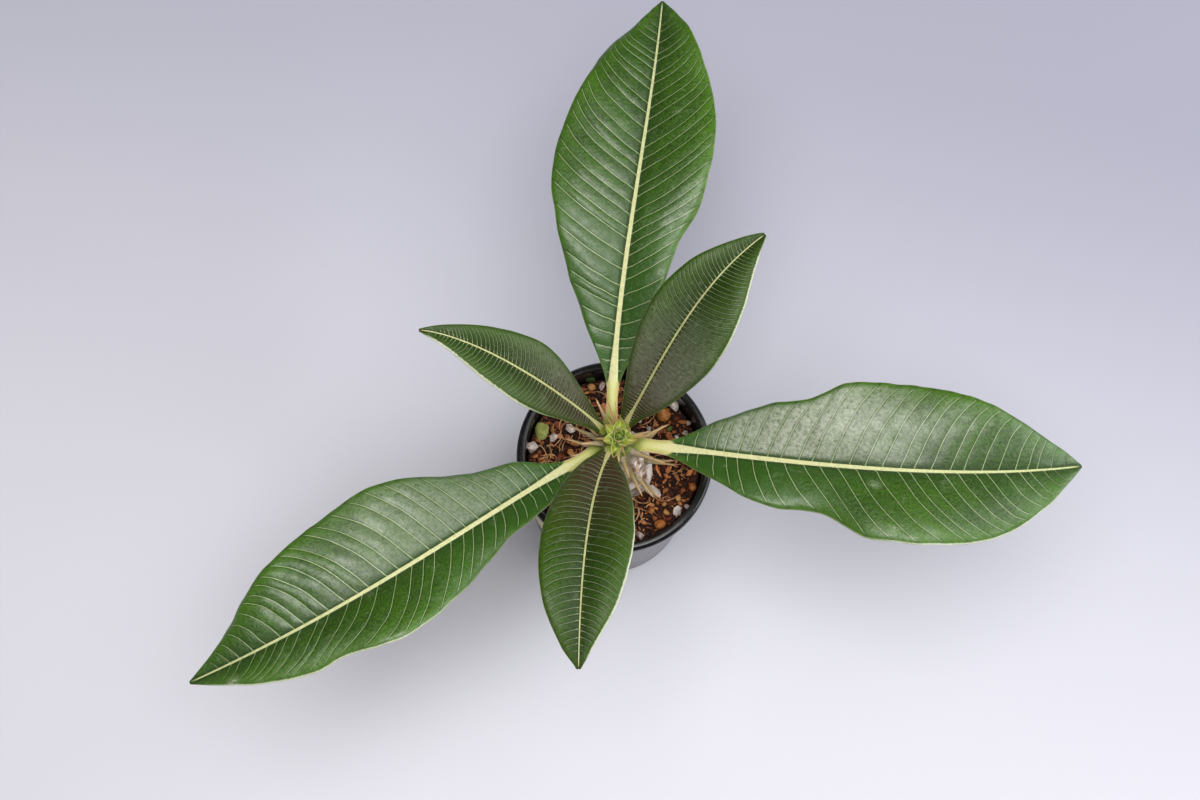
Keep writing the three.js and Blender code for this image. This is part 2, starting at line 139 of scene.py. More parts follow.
class Wire:
    """A shader socket that adds its own Math nodes when it is used in an expression."""

    def __init__(self, socket):
        self.socket = socket

    def node(self, kind, settings, sockets, out=0):
        """Adds a node with its settings, then gives its sockets wires, values or six-digit colours."""
        tree = self.socket.id_data
        node = tree.nodes.new("ShaderNode" + kind)
        for name, setting in settings.items():
            if name == "stops":
                elements = node.color_ramp.elements
                while len(elements) < len(setting):
                    elements.new(1)
                for element, (place, colour) in zip(elements, setting):
                    element.position = place
                    element.color = tint(colour)
            else:
                setattr(node, name, setting)
        for place, value in sockets.items():
            if isinstance(value, Wire):
                tree.links.new(value.socket, node.inputs[place])
            else:
                node.inputs[place].default_value = tint(value) if isinstance(value, str) else value
        return Wire(node.outputs[out])

    def maths(self, operation, *values):
        return self.node("Math", {"operation": operation}, dict(enumerate(values)))

    def most(self, other):
        return self.maths("MAXIMUM", self, other)

    def __add__(self, other):
        return self.maths("ADD", self, other)

    __radd__ = __add__

    def __sub__(self, other):
        return self.maths("SUBTRACT", self, other)

    def __rsub__(self, other):
        return self.maths("SUBTRACT", other, self)

    def __mul__(self, other):
        return self.maths("MULTIPLY", self, other)

    __rmul__ = __mul__

    def rise(self, low, high):
        """Eases from 0 at low to 1 at high, or the other way where low is the larger."""
        sockets = {"Value": self, "From Min": low, "From Max": high}
        return self.node("MapRange", {"interpolation_type": "SMOOTHSTEP"}, sockets)

    def blend(self, first, second):
        """A colour that goes from the first to the second as this goes from 0 to 1."""
        return self.node("Mix", {"data_type": "RGBA"}, {0: self, 6: first, 7: second}, out=2)

    def ramp(self, stops):
        """A colour that runs through (place, six-digit colour) stops."""
        return self.node("ValToRGB", {"stops": stops}, {0: self})

    def grain(self, scale, detail=2.0, rough=0.5):
        """Soft noise about a half at these coordinates, with so many lumps to a metre."""
        sockets = {"Vector": self, "Scale": scale, "Detail": detail, "Roughness": rough}
        return self.node("TexNoise", {}, sockets)

    def cells(self, scale, feature="F1"):
        """The distance to the middle or the edge of a cell, with so many cells to a metre."""
        return self.node("TexVoronoi", {"feature": feature}, {"Vector": self, "Scale": scale})

    def part(self, axis):
        """One of the three parts of these coordinates."""
        return self.node("SeparateXYZ", {}, {0: self}, out=axis)

    def read(self, layer):
        """The number that the mesh carries in a layer."""
        return self.node("Attribute", {"attribute_name": layer}, {}, out=2)

    def stretched(self, scale):
        """These coordinates drawn out by a scale on each axis."""
        return self.node("Mapping", {}, {"Vector": self, "Scale": scale})

    def relief(self, depth, under=None):
        """A normal from this wire as a height, with its depth in millimetres."""
        sockets = {"Height": self, "Distance": depth * 0.001, "Strength": 1.0}
        if under:
            sockets["Normal"] = under
        return self.node("Bump", {}, sockets)


def tint(code):
    """A linear colour from its six-digit code."""
    parts = [int(code[i:i + 2], 16) / 255 for i in (0, 2, 4)]
    return (*[p / 12.92 if p <= 0.04045 else ((p + 0.055) / 1.055) ** 2.4 for p in parts], 1)


def shader_socket(finish, name):
    label = name.replace("_", " ").title().replace("Ior", "IOR")
    return finish.node_tree.nodes["Principled BSDF"].inputs[label]


def new_finish(name, **values):
    """A material with plain values set, and the Object coordinates that it is painted by."""
    finish = bpy.data.materials.new(name)
    finish.use_nodes = True
    for socket, value in values.items():
        shader_socket(finish, socket).default_value = value
    return finish, Wire(finish.node_tree.nodes.new("ShaderNodeTexCoord").outputs["Object"])


def paint(finish, **wires):
    """Feeds wires to the shader's sockets and gives the material back."""
    for socket, wire in wires.items():
        finish.node_tree.links.new(wire.socket, shader_socket(finish, socket))
    return finish


def pot_plastic():
    finish, place = new_finish("black_polypropylene", ior=1.49)
    cloud = place.grain(60, 4)
    speck = place.grain(1500, 2)
    dust = place.grain(220, 6, 0.65).rise(0.52, 0.75) * 0.35
    height = place.part(2)
    inside = height.rise(0.064, 0.071) * (1 - height.rise(0.072, 0.0745))
    body = cloud.blend("121114", "151317")
    return paint(
        finish,
        base_color=(dust + inside * 0.12).blend(body, "4a4548"),
        roughness=0.16 + cloud * 0.08 + dust * 0.3,
        normal=speck.relief(0.012, under=place.grain(260, 3).relief(0.03)),
    )


def make_pot():
    foot_in = BASE_RADIUS - 1 - FOOT_WIDTH
    lip_low = POT_HEIGHT - LIP_DROP
    inner_top = RIM_RADIUS - LIP_WIDTH
    wall_steps = [mix(1, lip_low, i / 12) for i in range(13)]
    underside = [(0, 0), (PAD_RADIUS, 0), (PAD_RADIUS + 1, PLATE_LOW), (foot_in - 1, PLATE_LOW)]
    foot = [(foot_in, HEIGHT_INSET), (BASE_RADIUS - 1, HEIGHT_INSET)]
    wall = [(outer_at(z), z) for z in wall_steps]
    lip = [
        (RIM_RADIUS, lip_low + 0.6), (RIM_RADIUS, POT_HEIGHT - 1.1),
        (RIM_RADIUS - 1.1, POT_HEIGHT - HEIGHT_INSET), (inner_top + 0.6, POT_HEIGHT - HEIGHT_INSET),
        (inner_top, POT_HEIGHT - 0.7),
    ]
    inside = [
        (inner_at(40), 40), (inner_at(PLATE_HIGH + 1.5), PLATE_HIGH + 1.5),
        (inner_at(PLATE_HIGH) - 1.5, PLATE_HIGH), (0, PLATE_HIGH),
    ]
    shape = bmesh.new()
    turn_profile(shape, underside + foot + wall + lip + inside, POT_SIDES)
    round_edges(shape, CORNER_ROUND)
    for vert in shape.verts:
        reach = math.hypot(vert.co.x, vert.co.y)
        on_wall = smooth(vert.co.z, 2, 6) * (1 - smooth(vert.co.z, lip_low - 4, lip_low - 1))
        if on_wall and reach > outer_at(vert.co.z) - 0.3:
            angle = math.atan2(vert.co.y, vert.co.x)
            groove = 0.5 + 0.5 * math.cos(angle * POT_SIDES / SIDES_PER_RIB)
            grow = 1 - RIB_DEPTH * on_wall * groove / reach
            vert.co.x *= grow
            vert.co.y *= grow
    return shape


def around(turn, reach=1, z=0):
    """A point at an angle and a distance from the upright axis."""
    return Vector((reach * math.cos(turn), reach * math.sin(turn), z))


def drill_holes(piece):
    """Cuts the ring of drain holes through the pot's floor."""
    drills = bmesh.new()
    for i in range(DRAIN_COUNT):
        turn = 2 * math.pi * (i + 0.5) / DRAIN_COUNT
        place = Matrix.Translation(around(turn, DRAIN_CIRCLE, 2))
        bmesh.ops.create_cone(
            drills, cap_ends=True, segments=32, radius1=DRAIN_RADIUS, radius2=DRAIN_RADIUS, depth=12,
            matrix=place,
        )
    cutter = add_object("drills", drills)
    cut = piece.modifiers.new("drain_holes", "BOOLEAN")
    cut.operation = "DIFFERENCE"
    cut.solver = "EXACT"
    cut.object = cutter
    bpy.context.view_layer.update()
    drilled = bpy.data.meshes.new_from_object(piece.evaluated_get(bpy.context.evaluated_depsgraph_get()))
    piece.modifiers.clear()
    bpy.data.objects.remove(cutter)
    piece.data = drilled
    smooth_shade(drilled)


nursery_pot = set_down("nursery_pot", make_pot(), pot_plastic(), "pot_plastic", "pot")
drill_holes(nursery_pot)

# Label: a bare cream sticker, stuck on the slope of the pot's wall on the side that faces front and
# left. It is one thin sheet with small round corners, a little soiled along its lower edge.
LABEL_LOW = 26
LABEL_HIGH = 62
LABEL_AZIMUTH = 213
LABEL_HALF_SPAN = 15
LABEL_STAND_OFF = 0.12
LABEL_THICK = 0.16
LABEL_CORNER = 2.2
LABEL_COLUMNS = 24


def label_paper():
    finish, place = new_finish("cream_label", roughness=0.62)
    soil = place.grain(160, 5, 0.6).rise(0.5, 0.8)
    low = place.part(2).rise(0.036, 0.026)
    fibre = place.grain(2600, 2)
    return paint(
        finish,
        base_color=(soil * 0.25 + low * soil * 0.5).blend("dcd3a6", "8f7f5c"),
        normal=fibre.relief(0.01),
    )


def draw_out(shape, faces):
    """Extrudes some faces and gives the vertices of the new skin."""
    grown = bmesh.ops.extrude_face_region(shape, geom=faces)["geom"]
    return [part for part in grown if isinstance(part, bmesh.types.BMVert)]


def make_label():
    radius = outer_at((LABEL_LOW + LABEL_HIGH) / 2)
    half_width = radius * math.radians(LABEL_HALF_SPAN)
    shape = bmesh.new()
    bmesh.ops.create_grid(shape, x_segments=1, y_segments=1, size=1)
    bmesh.ops.scale(shape, vec=(half_width, (LABEL_HIGH - LABEL_LOW) / 2, 1), verts=shape.verts)
    bmesh.ops.bevel(
        shape, geom=list(shape.verts), offset=LABEL_CORNER, segments=6, profile=0.5, affect="VERTICES",
        material=-1,
    )
    for i in range(1, LABEL_COLUMNS):
        cut = Vector((mix(-half_width, half_width, i / LABEL_COLUMNS), 0, 0))
        parts = shape.verts[:] + shape.edges[:] + shape.faces[:]
        bmesh.ops.bisect_plane(shape, geom=parts, dist=1e-5, plane_co=cut, plane_no=(1, 0, 0))
    bmesh.ops.translate(shape, vec=(0, 0, LABEL_STAND_OFF), verts=shape.verts)
    bmesh.ops.translate(shape, vec=(0, 0, LABEL_THICK), verts=draw_out(shape, shape.faces[:]))
    for vert in shape.verts:
        z = vert.co.y + (LABEL_LOW + LABEL_HIGH) / 2
        turn = math.radians(LABEL_AZIMUTH) + vert.co.x / radius
        vert.co = around(turn, outer_at(z) + vert.co.z, z)
    bmesh.ops.recalc_face_normals(shape, faces=shape.faces)
    return shape


set_down("bare_label", make_label(), label_paper(), "label_paper", "pot_label", sharp=30)

# Soil: a free-draining mix that fills the pot to 9 mm below its lip. Its dark, crumbly bed is one
# body bound by roots, with pumice, fired clay, bark and coir bedded in its top.
SOIL_Z = 66
SOIL_GAP = 0.3
SOIL_SIDES = 150
GRAIN_SEED = 11
STEM_FOOT = (5, -4)
STEM_FOOT_RADIUS = 10.2
# The stones that catch the eye, by kind: (x, y, length, tone from dark to pale)
STONES = {
    "pumice": [
        (16, -11, 7.0, 0.9), (26, -17, 5.6, 0.9), (21, 24, 5.6, 0.95), (12, 14, 3.4, 0.85),
        (8, 17, 3.2, 0.9), (-32, 1, 6.4, 0.7), (-24, 6, 4.8, 0.75), (-18, 10, 5.6, 0.8),
        (13, -28, 4.6, 0.6), (27, 18, 3.4, 0.3), (26, 14, 3.6, 0.25), (29, 4, 2.8, 0.35),
        (23, 12, 2.8, 0.95), (-8, 29, 4.2, 0.45), (30, -15, 3.4, 0.4),
    ],
    "clay": [
        (17, 20, 6.4, 0.6), (14, 1, 3.2, 0.8), (20, -23, 4.8, 0.45), (22, -18, 3.0, 0.85),
        (21, -15, 2.4, 0.8), (26, -12, 2.8, 0.85), (31, -7, 3.8, 0.35), (16, -18, 3.4, 0.5),
        (-12, 28, 3.4, 0.8), (-17, 1, 3.2, 0.7),
    ],
    "moss": [(-29, 8, 7.6, 0.9), (20, 15, 2.8, 0.3), (-13, 31, 4.6, 0.05)],
    "bark": [(-28, -3, 4.0, 0.5), (-20, -1, 5.2, 0.35)],
}
# The rest is strewn: (count, smallest, largest), small ones more often than large ones
STREWN = {
    "pumice": (34, 1.6, 3.6), "clay": (70, 1.2, 3.2), "bark": (330, 1.8, 5.4), "crumb": (2600, 0.9, 3.2),
}
STREW_CELL = 6
STREW_TRIES = 24
CRUMB_SPACING = 0.33
GRAIN_SPACING = 0.42
STONE_LIFT = 0.22
GRAIN_LIFT = 0.12
SMALLNESS = 1.6
BED_RINGS = 46
FIBRES = 170


def knock_facets(verts, random, count):
    """Flattens a ball on random sides, as a stone that broke from a larger one."""
    for _ in range(count):
        side = Vector((random.gauss(0, 1), random.gauss(0, 1), random.gauss(0, 1))).normalized()
        depth = random.uniform(0.5, 0.85)
        for vert in verts:
            over = vert.co.dot(side) - depth
            if over > 0:
                vert.co -= side * over * 0.9


def random_lie(random, tilt):
    """Turns a thing any way about the upright axis and leans it by up to an angle in radians."""
    lean = [random.uniform(-tilt, tilt) for _ in range(2)]
    return Euler((*lean, random.uniform(0, 6.28))).to_matrix()


def add_grain(shape, tone_layer, random, place, length, kind, tone):
    """One stone, chip or crumb of the mix, half sunk in the bed."""
    forms = {
        "pumice": (3, 18, (1, 0.8, 0.7), 0.42),
        "clay": (2, 3, (1, 0.85, 0.75), 0.1),
        "moss": (3, 1, (1, 0.66, 0.6), 0.34),
        "bark": (1, 8, (1, random.uniform(0.25, 0.8), 0.3), 0.9),
        "crumb": (1, 6, (1, random.uniform(0.2, 0.8), random.uniform(0.2, 0.5)), 1.1),
    }
    detail, facets, form, rough = forms[kind]
    verts = bmesh.ops.create_icosphere(shape, subdivisions=detail, radius=1)["verts"]
    shift = Vector((random.uniform(0, 90), random.uniform(0, 90), random.uniform(0, 90)))
    for vert in verts:
        coarse, fine = noise.noise(vert.co * 1.9 + shift), noise.noise(vert.co * 5 + shift)
        vert.co *= 1 + rough * coarse + rough * 0.5 * fine
    knock_facets(verts, random, facets)
    lie = random_lie(random, 0.5 if kind == "bark" else 0.9)
    bmesh.ops.scale(shape, vec=[length / 2 * part for part in form], verts=verts)
    for vert in verts:
        vert.co = lie @ vert.co + place
        vert[tone_layer] = tone


def strew():
    """Where each grain lies, large ones first, so that small ones fill the gaps between them."""
    random = Random(GRAIN_SEED)
    laid = []
    cells = {}

    def lay(place, length, kind, tone):
        laid.append((place, length, kind, tone))
        column, row = round(place.x / STREW_CELL), round(place.y / STREW_CELL)
        cells.setdefault((column, row), []).append((place, length))

    def crowded(x, y, length, close):
        column, row = round(x / STREW_CELL), round(y / STREW_CELL)
        block = [(column + i, row + j) for i in (-1, 0, 1) for j in (-1, 0, 1)]
        near = [grain for cell in block for grain in cells.get(cell, ())]
        return any(math.hypot(place.x - x, place.y - y) < close * (size + length) for place, size in near)

    for kind, stones in STONES.items():
        for x, y, length, tone in stones:
            lay(Vector((x, y, SOIL_Z + length * STONE_LIFT)), length, kind, tone)
    wanted = []
    for kind, (count, smallest, largest) in STREWN.items():
        wanted += [(mix(smallest, largest, random.random() ** SMALLNESS), kind) for _ in range(count)]
    wanted.sort(key=lambda grain: -grain[0])
    for length, kind in wanted:
        spacing = CRUMB_SPACING if kind == "crumb" else GRAIN_SPACING
        for _ in range(STREW_TRIES):
            reach = math.sqrt(random.random()) * (inner_at(SOIL_Z) - 0.8 - length * 0.5)
            turn = random.uniform(0, 2 * math.pi)
            x, y = reach * math.cos(turn), reach * math.sin(turn)
            near_stem = math.hypot(x - STEM_FOOT[0], y - STEM_FOOT[1]) < STEM_FOOT_RADIUS + length * 0.3
            if not near_stem and not crowded(x, y, length, spacing):
                z = SOIL_Z + length * GRAIN_LIFT + random.uniform(-0.4, 0.6)
                lay(Vector((x, y, z)), length, kind, random.random())
                break
    return laid


def make_bed():
    """A plug that fills the pot, with a lumpy top."""
    low = PLATE_HIGH + SOIL_GAP
    top = inner_at(SOIL_Z) - 1.0
    profile = [(0, low), (inner_at(low) - 2.2, low), (inner_at(low + 2) - SOIL_GAP, low + 2)]
    profile += [(inner_at(SOIL_Z - 2) - SOIL_GAP, SOIL_Z - 2)]
    profile += [(top * (1 - i / BED_RINGS), SOIL_Z - 0.2) for i in range(BED_RINGS + 1)]
    shape = bmesh.new()
    turn_profile(shape, profile, SOIL_SIDES)
    for vert in shape.verts:
        if vert.co.z > SOIL_Z - 1:
            lumps = noise.fractal(vert.co * 0.34, 1.0, 2.1, 4) * 1.3 + noise.noise(vert.co * 1.4) * 0.5
            edge = 1 - smooth(math.hypot(vert.co.x, vert.co.y), top - 3, top)
            vert.co.z += min(1.4, lumps) * (0.3 + 0.7 * edge) - 0.5
    return shape


def make_fibres():
    """Loose strands of coir: thin arcs that lie on the bed."""
    random = Random(GRAIN_SEED + 1)
    shape = bmesh.new()
    for _ in range(FIBRES):
        thick = random.uniform(0.09, 0.2)
        bend = random.uniform(1.6, 8)
        start = Matrix.Translation((bend, 0, 0)) @ Matrix.Rotation(math.pi / 2, 4, "X")
        ring = bmesh.ops.create_circle(
            shape, cap_ends=True, segments=5, radius=thick, matrix=start
        )["verts"]
        face = ring[0].link_faces[0]
        first = set(shape.verts) - set(ring)
        parts = list(ring) + list(face.edges) + [face]
        bmesh.ops.spin(
            shape, geom=parts, axis=(0, 0, 1), cent=(0, 0, 0), angle=random.uniform(2.5, 9) / bend, steps=9
        )
        strand = [vert for vert in shape.verts if vert not in first]
        while True:
            reach = math.sqrt(random.random()) * (inner_at(SOIL_Z) - 6)
            turn = random.uniform(0, 2 * math.pi)
            place = around(turn, reach, SOIL_Z + random.uniform(1.2, 2))
            if math.hypot(place.x - STEM_FOOT[0], place.y - STEM_FOOT[1]) > STEM_FOOT_RADIUS + 2:
                break
        middle = sum((vert.co for vert in strand), Vector()) / len(strand)
        lie = random_lie(random, 0.16)
        for vert in strand:
            vert.co = lie @ (vert.co - middle) + place
    bmesh.ops.recalc_face_normals(shape, faces=shape.faces)
    return shape


def soil_finish(name, stops, roughness, fine, pits):
    """Grit painted by each grain's own tone, with fine mottling, darker wet patches, and pits in its
    surface darkened with painted shade.
    """
    finish, place = new_finish(name, roughness=roughness)
    mottle = place.grain(fine, 5, 0.65)
    colour = (place.read("tone") + (mottle - 0.5) * 0.9).ramp(stops)
    pit = place.cells(fine * 1.6).rise(0.1, 0.55)
    wet = place.grain(fine * 0.35, 3).rise(0.42, 0.62)
    # Painted shade darkens the pits; the wet patches are the grit's own darker tone
    dark = (pit * 0.3 + 0.7) * (wet * 0.2 + 0.8)
    multiply = {"data_type": "RGBA", "blend_type": "MULTIPLY"}
    shaded = colour.node("Mix", multiply, {0: 1.0, 6: colour, 7: dark}, out=2)
    return paint(finish, base_color=shaded, normal=(mottle + pit * pits).relief(0.4))


SOIL_FINISHES = {
    "pumice": soil_finish("pumice", [(0, "8f7068"), (0.4, "e0c7bd"), (1, "fff0ea")], 0.7, 1300, 0.9),
    "clay": soil_finish("fired_clay", [(0, "7c3f1c"), (0.5, "bf7434"), (1, "e8b06a")], 0.5, 700, 0.3),
    "moss": soil_finish("mossy_stone", [(0, "2a4a12"), (0.4, "6c8228"), (1, "bcc06a")], 0.85, 1200, 0.6),
    "bark": soil_finish("bark_chips", [(0, "1a0803"), (0.42, "803410"), (1, "f0995a")], 0.42, 1100, 0.5),
    "crumb": soil_finish("bark_crumbs", [(0, "140602"), (0.42, "803410"), (1, "f5a05c")], 0.42, 1500, 0.5),
}


def bed_finish():
    finish, place = new_finish("dark_bed", roughness=0.9)
    lumps = place.grain(700, 6, 0.65)
    colour = lumps.rise(0.35, 0.7).blend("0d0603", "4a2010")
    return paint(finish, base_color=colour, normal=lumps.relief(0.8))


def fibre_finish():
    finish, place = new_finish("coir_strands", roughness=0.6)
    return paint(finish, base_color=place.grain(300, 3).rise(0.3, 0.7).blend("8a4a28", "e0b27c"))


set_down("soil_bed", make_bed(), bed_finish(), "soil_mix", "soil")
grains = strew()
for kind, finish in SOIL_FINISHES.items():
    random = Random(GRAIN_SEED + len(kind))
    heap = bmesh.new()
    tone_layer = heap.verts.layers.float.new("tone")
    for place, length, grain_kind, tone in grains:
        if grain_kind == kind:
            add_grain(heap, tone_layer, random, place, length, kind, tone)
    set_down("soil_" + kind, heap, finish, "soil_mix", sharp=22 if kind in ("bark", "crumb") else 50)
set_down("soil_fibres", make_fibres(), fibre_finish(), "soil_mix")

# Stem: a bottle-shaped trunk with its taproot, grown as one piece. Its skin is silver-grey and
# papery, and each old leaf node is a round scar on a low swelling between a pair of woody spines.
STEM_CROWN = (-1, -4)
CROWN_Z = 116
STEM_PROFILE = [
    (30, 2.5), (38, 5), (48, 7.4), (58, 9.2), (66, 10.2), (73, 10.4), (81, 9.9),
    (89, 9.1), (97, 8.1), (104, 7.1), (109, 6.1), (112, 5), (114.4, 3.5), (115.6, 1.8),
]
STEM_SIDES = 112
NODE_COUNT = 17
YOUNGEST_AZIMUTH = 260
NODE_TURN = 137.5
NODE_DROP = 2.2
NODE_SPACING = 0.9
NODE_POWER = 1.32
SCAR_RISE = 1
SCAR_WIDTH = 2.8
SCAR_RADIUS = 2.1
SPINE_SPREAD = 20
SPINE_FLARE = 3
SPINE_ROOT = 1.45
SPINE_DEPTH = 2.5
SPINE_SIDES = 12
SPINE_RINGS = 10


def station_value(stations, share):
    """A smooth value at a share of the way, from (share, value) stations."""
    last = len(stations) - 1
    i = min(max(bisect_right(stations, (share, math.inf)) - 1, 0), last - 1)

    def slope(k):
        (before, low), (after, high) = stations[max(k - 1, 0)], stations[min(k + 1, last)]
        return (high - low) / (after - before)

    (start, first), (end, second) = stations[i], stations[i + 1]
    step = end - start
    t = min(1, max(0, (share - start) / step))
    leave = t * (1 - t) ** 2 * step * slope(i)
    arrive = t * t * (t - 1) * step * slope(i + 1)
    return mix(first, second, t * t * (3 - 2 * t)) + leave + arrive


def stem_axis(z):
    rise = (z - SOIL_Z) / (CROWN_Z - SOIL_Z)
    return Vector((mix(STEM_FOOT[0], STEM_CROWN[0], rise), mix(STEM_FOOT[1], STEM_CROWN[1], rise), z))


def stem_nodes():
    """Every leaf node, from the youngest down: its middle, the stem's radius there and its azimuth."""
    found = []
    for k in range(NODE_COUNT):
        z = CROWN_Z - NODE_DROP - NODE_SPACING * k ** NODE_POWER
        turn = math.radians(YOUNGEST_AZIMUTH + NODE_TURN * k)
        found.append((stem_axis(z), station_value(STEM_PROFILE, z), turn))
    return found


def make_stem():
    """The trunk and its spines. Layer "along" is -1 on the trunk and runs from 0 to 1 up each spine."""
    nodes = stem_nodes()
    shape = bmesh.new()
    scar_layer = shape.verts.layers.float.new("scar")
    along_layer = shape.verts.layers.float.new("along")
    # Rings 1 mm apart in the soil, closer above it, and closest at the crown
    heights = [30 + i for i in range(32)] + [62 + i * 0.45 for i in range(111)]
    heights += [112.0 + i * 0.3 for i in range(13)]
    profile = [(0, 28), *[(station_value(STEM_PROFILE, z), z) for z in heights], (0, CROWN_Z - 0.1)]
    turn_profile(shape, profile, STEM_SIDES)
    seats = [middle + radius * around(turn) for middle, radius, turn in nodes]
    for vert in shape.verts:
        vert.co += stem_axis(vert.co.z) - Vector((0, 0, vert.co.z))
        out = (vert.co - stem_axis(vert.co.z)).normalized()
        bare = smooth(vert.co.z, SOIL_Z + 1, SOIL_Z + 4)
        near = min((vert.co - seat).length for seat in seats)
        swell = SCAR_RISE * math.exp(-((near / SCAR_WIDTH) ** 2)) * bare
        rim = 0.22 * math.exp(-(((near - SCAR_RADIUS) / 0.4) ** 2)) - 0.3 * math.exp(-((near / 1.6) ** 4))
        fissure = noise.fractal(Vector((out.x * 5, out.y * 5, vert.co.z * 0.13)), 1.0, 2.2, 4)
        skin = noise.noise(vert.co * 0.9) * 0.12 + fissure * 0.26
        calm = 1 - smooth(vert.co.z, 108, 113)
        vert.co += out * (swell + rim * bare + skin * calm)
        vert[scar_layer] = math.exp(-((near / 1.9) ** 6)) * bare
        vert[along_layer] = -1
    for k, node in enumerate(nodes):
        for side in (-1, 1):
            add_spine(shape, along_layer, k, node, side)
    return shape


def add_spine(shape, along_layer, k, node, side):
    """A woody spine: broad and flattened at its root, slightly hooked, drawn out to a needle point."""
    middle, radius, turn = node
    # 9 mm long at the crown, 13 mm further down and 10 mm at the foot, where they stand out level
    length = 9 + 4 * smooth(k, 0, 4) - 3 * smooth(k, 10, 16)
    climb = mix(0.8, 0.15, smooth(k, 0, 9))
    root_turn = turn + math.radians(side * SPINE_SPREAD)
    tip_turn = turn + math.radians(side * (SPINE_SPREAD + SPINE_FLARE))
    out = around(tip_turn, 1, climb).normalized()
    across = out.cross(Vector((0, 0, 1))).normalized()
    lift = across.cross(out)
    root = middle + radius * around(root_turn)
    spine = bmesh.new()
    profile = [(0, -SPINE_DEPTH), (SPINE_ROOT * 1.15, -SPINE_DEPTH)]
    for i in range(SPINE_RINGS):
        t = i / SPINE_RINGS
        width = SPINE_ROOT * (0.16 + 0.84 * (1 - t) ** 1.5) * (1 - 0.1 * t)
        profile.append((width, length * t))
    profile += [(0.05, length * 0.985), (0, length * 0.998)]
    turn_profile(spine, profile, SPINE_SIDES)
    hook = 0.5 + 0.3 * math.sin(k * 2.4 + side)
    sway = 0.5 * math.sin(k * 1.7 + side * 0.9)
    made = {}
    for vert in spine.verts:
        t = vert.co.z / length
        flat = mix(0.72, 1, smooth(t, 0, 0.4))
        angle = math.atan2(vert.co.y, vert.co.x)
        groove = 1 - 0.08 * (0.5 + 0.5 * math.cos(angle * 4)) * (1 - smooth(t, 0.3, 0.7))
        bend = max(0, t) ** 2
        place = root + across * (vert.co.x * groove + sway * bend) + out * vert.co.z
        place += lift * (vert.co.y * flat * groove + hook * bend)
        made[vert] = shape.verts.new(place)
        made[vert][along_layer] = max(0, t)
    for face in spine.faces:
        shape.faces.new([made[vert] for vert in face.verts][::-1])
    spine.free()


def stem_finish():
    finish, place = new_finish("silver_bark", ior=1.45)
    along = place.read("along")
    scar = place.read("scar")
    height = place.part(2)
    streaks = place.stretched((1, 1, 0.11)).grain(380, 6, 0.65)
    patches = place.stretched((1, 1, 0.5)).grain(150, 4, 0.6)
    flakes = place.stretched((1, 1, 0.35)).cells(150, "DISTANCE_TO_EDGE")
    silver = streaks.rise(0.34, 0.56).blend("a58f80", "f8ebe4")
    brown = streaks.rise(0.38, 0.62).blend("6b4f38", "c09b74")
    skin = patches.rise(0.48, 0.62).blend(silver, brown)
    skin = (flakes.rise(0.04, 0.0) * 0.35).blend(skin, "5c4533")
    green = streaks.rise(0.35, 0.7).blend("33440f", "8d9a3c")
    olive = patches.rise(0.35, 0.65).blend("4c4a26", "8a8258")
    skin = height.rise(0.098, 0.108).blend(skin, olive)
    skin = height.rise(0.107, 0.113).blend(skin, green)
    skin = (scar * (1 - height.rise(0.106, 0.112))).blend(skin, streaks.blend("6b5843", "b09a7c"))
    stops = [(0, "6a6436"), (0.2, "8a7c50"), (0.5, "ac9468"), (0.85, "cdab7c"), (1, "94633c")]
    wood = (along + (streaks - 0.5) * 0.3).ramp(stops)
    lilac = (streaks.rise(0.46, 0.6) * along.rise(0.6, 0.2) * 0.6).blend(wood, "b5a6a0")
    on_spine = along.rise(-0.5, -0.1)
    return paint(
        finish,
        base_color=on_spine.blend(skin, lilac),
        roughness=0.62 - on_spine * 0.2 + streaks * 0.15,
        normal=(streaks + flakes.rise(0.0, 0.08) * 0.12).relief(0.2),
    )


set_down("swollen_stem", make_stem(), stem_finish(), "stem_bark", "stem", sharp=60)

# Growing tip: the live end of the stem, a knot of soft, yellow-green sheaths folded round one another,
# which are the feet of leaves to come, and between them the first spines, still thin and tan.
BUD_AT = Vector((0.1, -3.5, 114.4))
BUD_RADIUS = 1.9
BUD_HEIGHT = 3.0
# Sheaths and spines: (azimuth, length, lean from upright in degrees, half-width)
SHEATHS = [
    (262, 9, 64, 2.0), (92, 7.5, 44, 2.6), (350, 6.5, 62, 3.0), (150, 6.5, 56, 2.4), (208, 6.5, 56, 2.4),
    (36, 5.5, 42, 2.2), (306, 6, 44, 2.2), (118, 5, 14, 1.8), (268, 4.5, 22, 1.7),
]
BUD_SPINES = [
    (116, 16.5, 60, 1.0), (103, 12.5, 66, 0.8), (128, 8, 74, 0.8), (196, 9, 68, 0.8), (6, 12, 70, 0.85),
    (292, 8, 66, 0.75),
]
BLADE_THICK = 0.26
BUD_LAYERS = ("along", "edge", "spine")


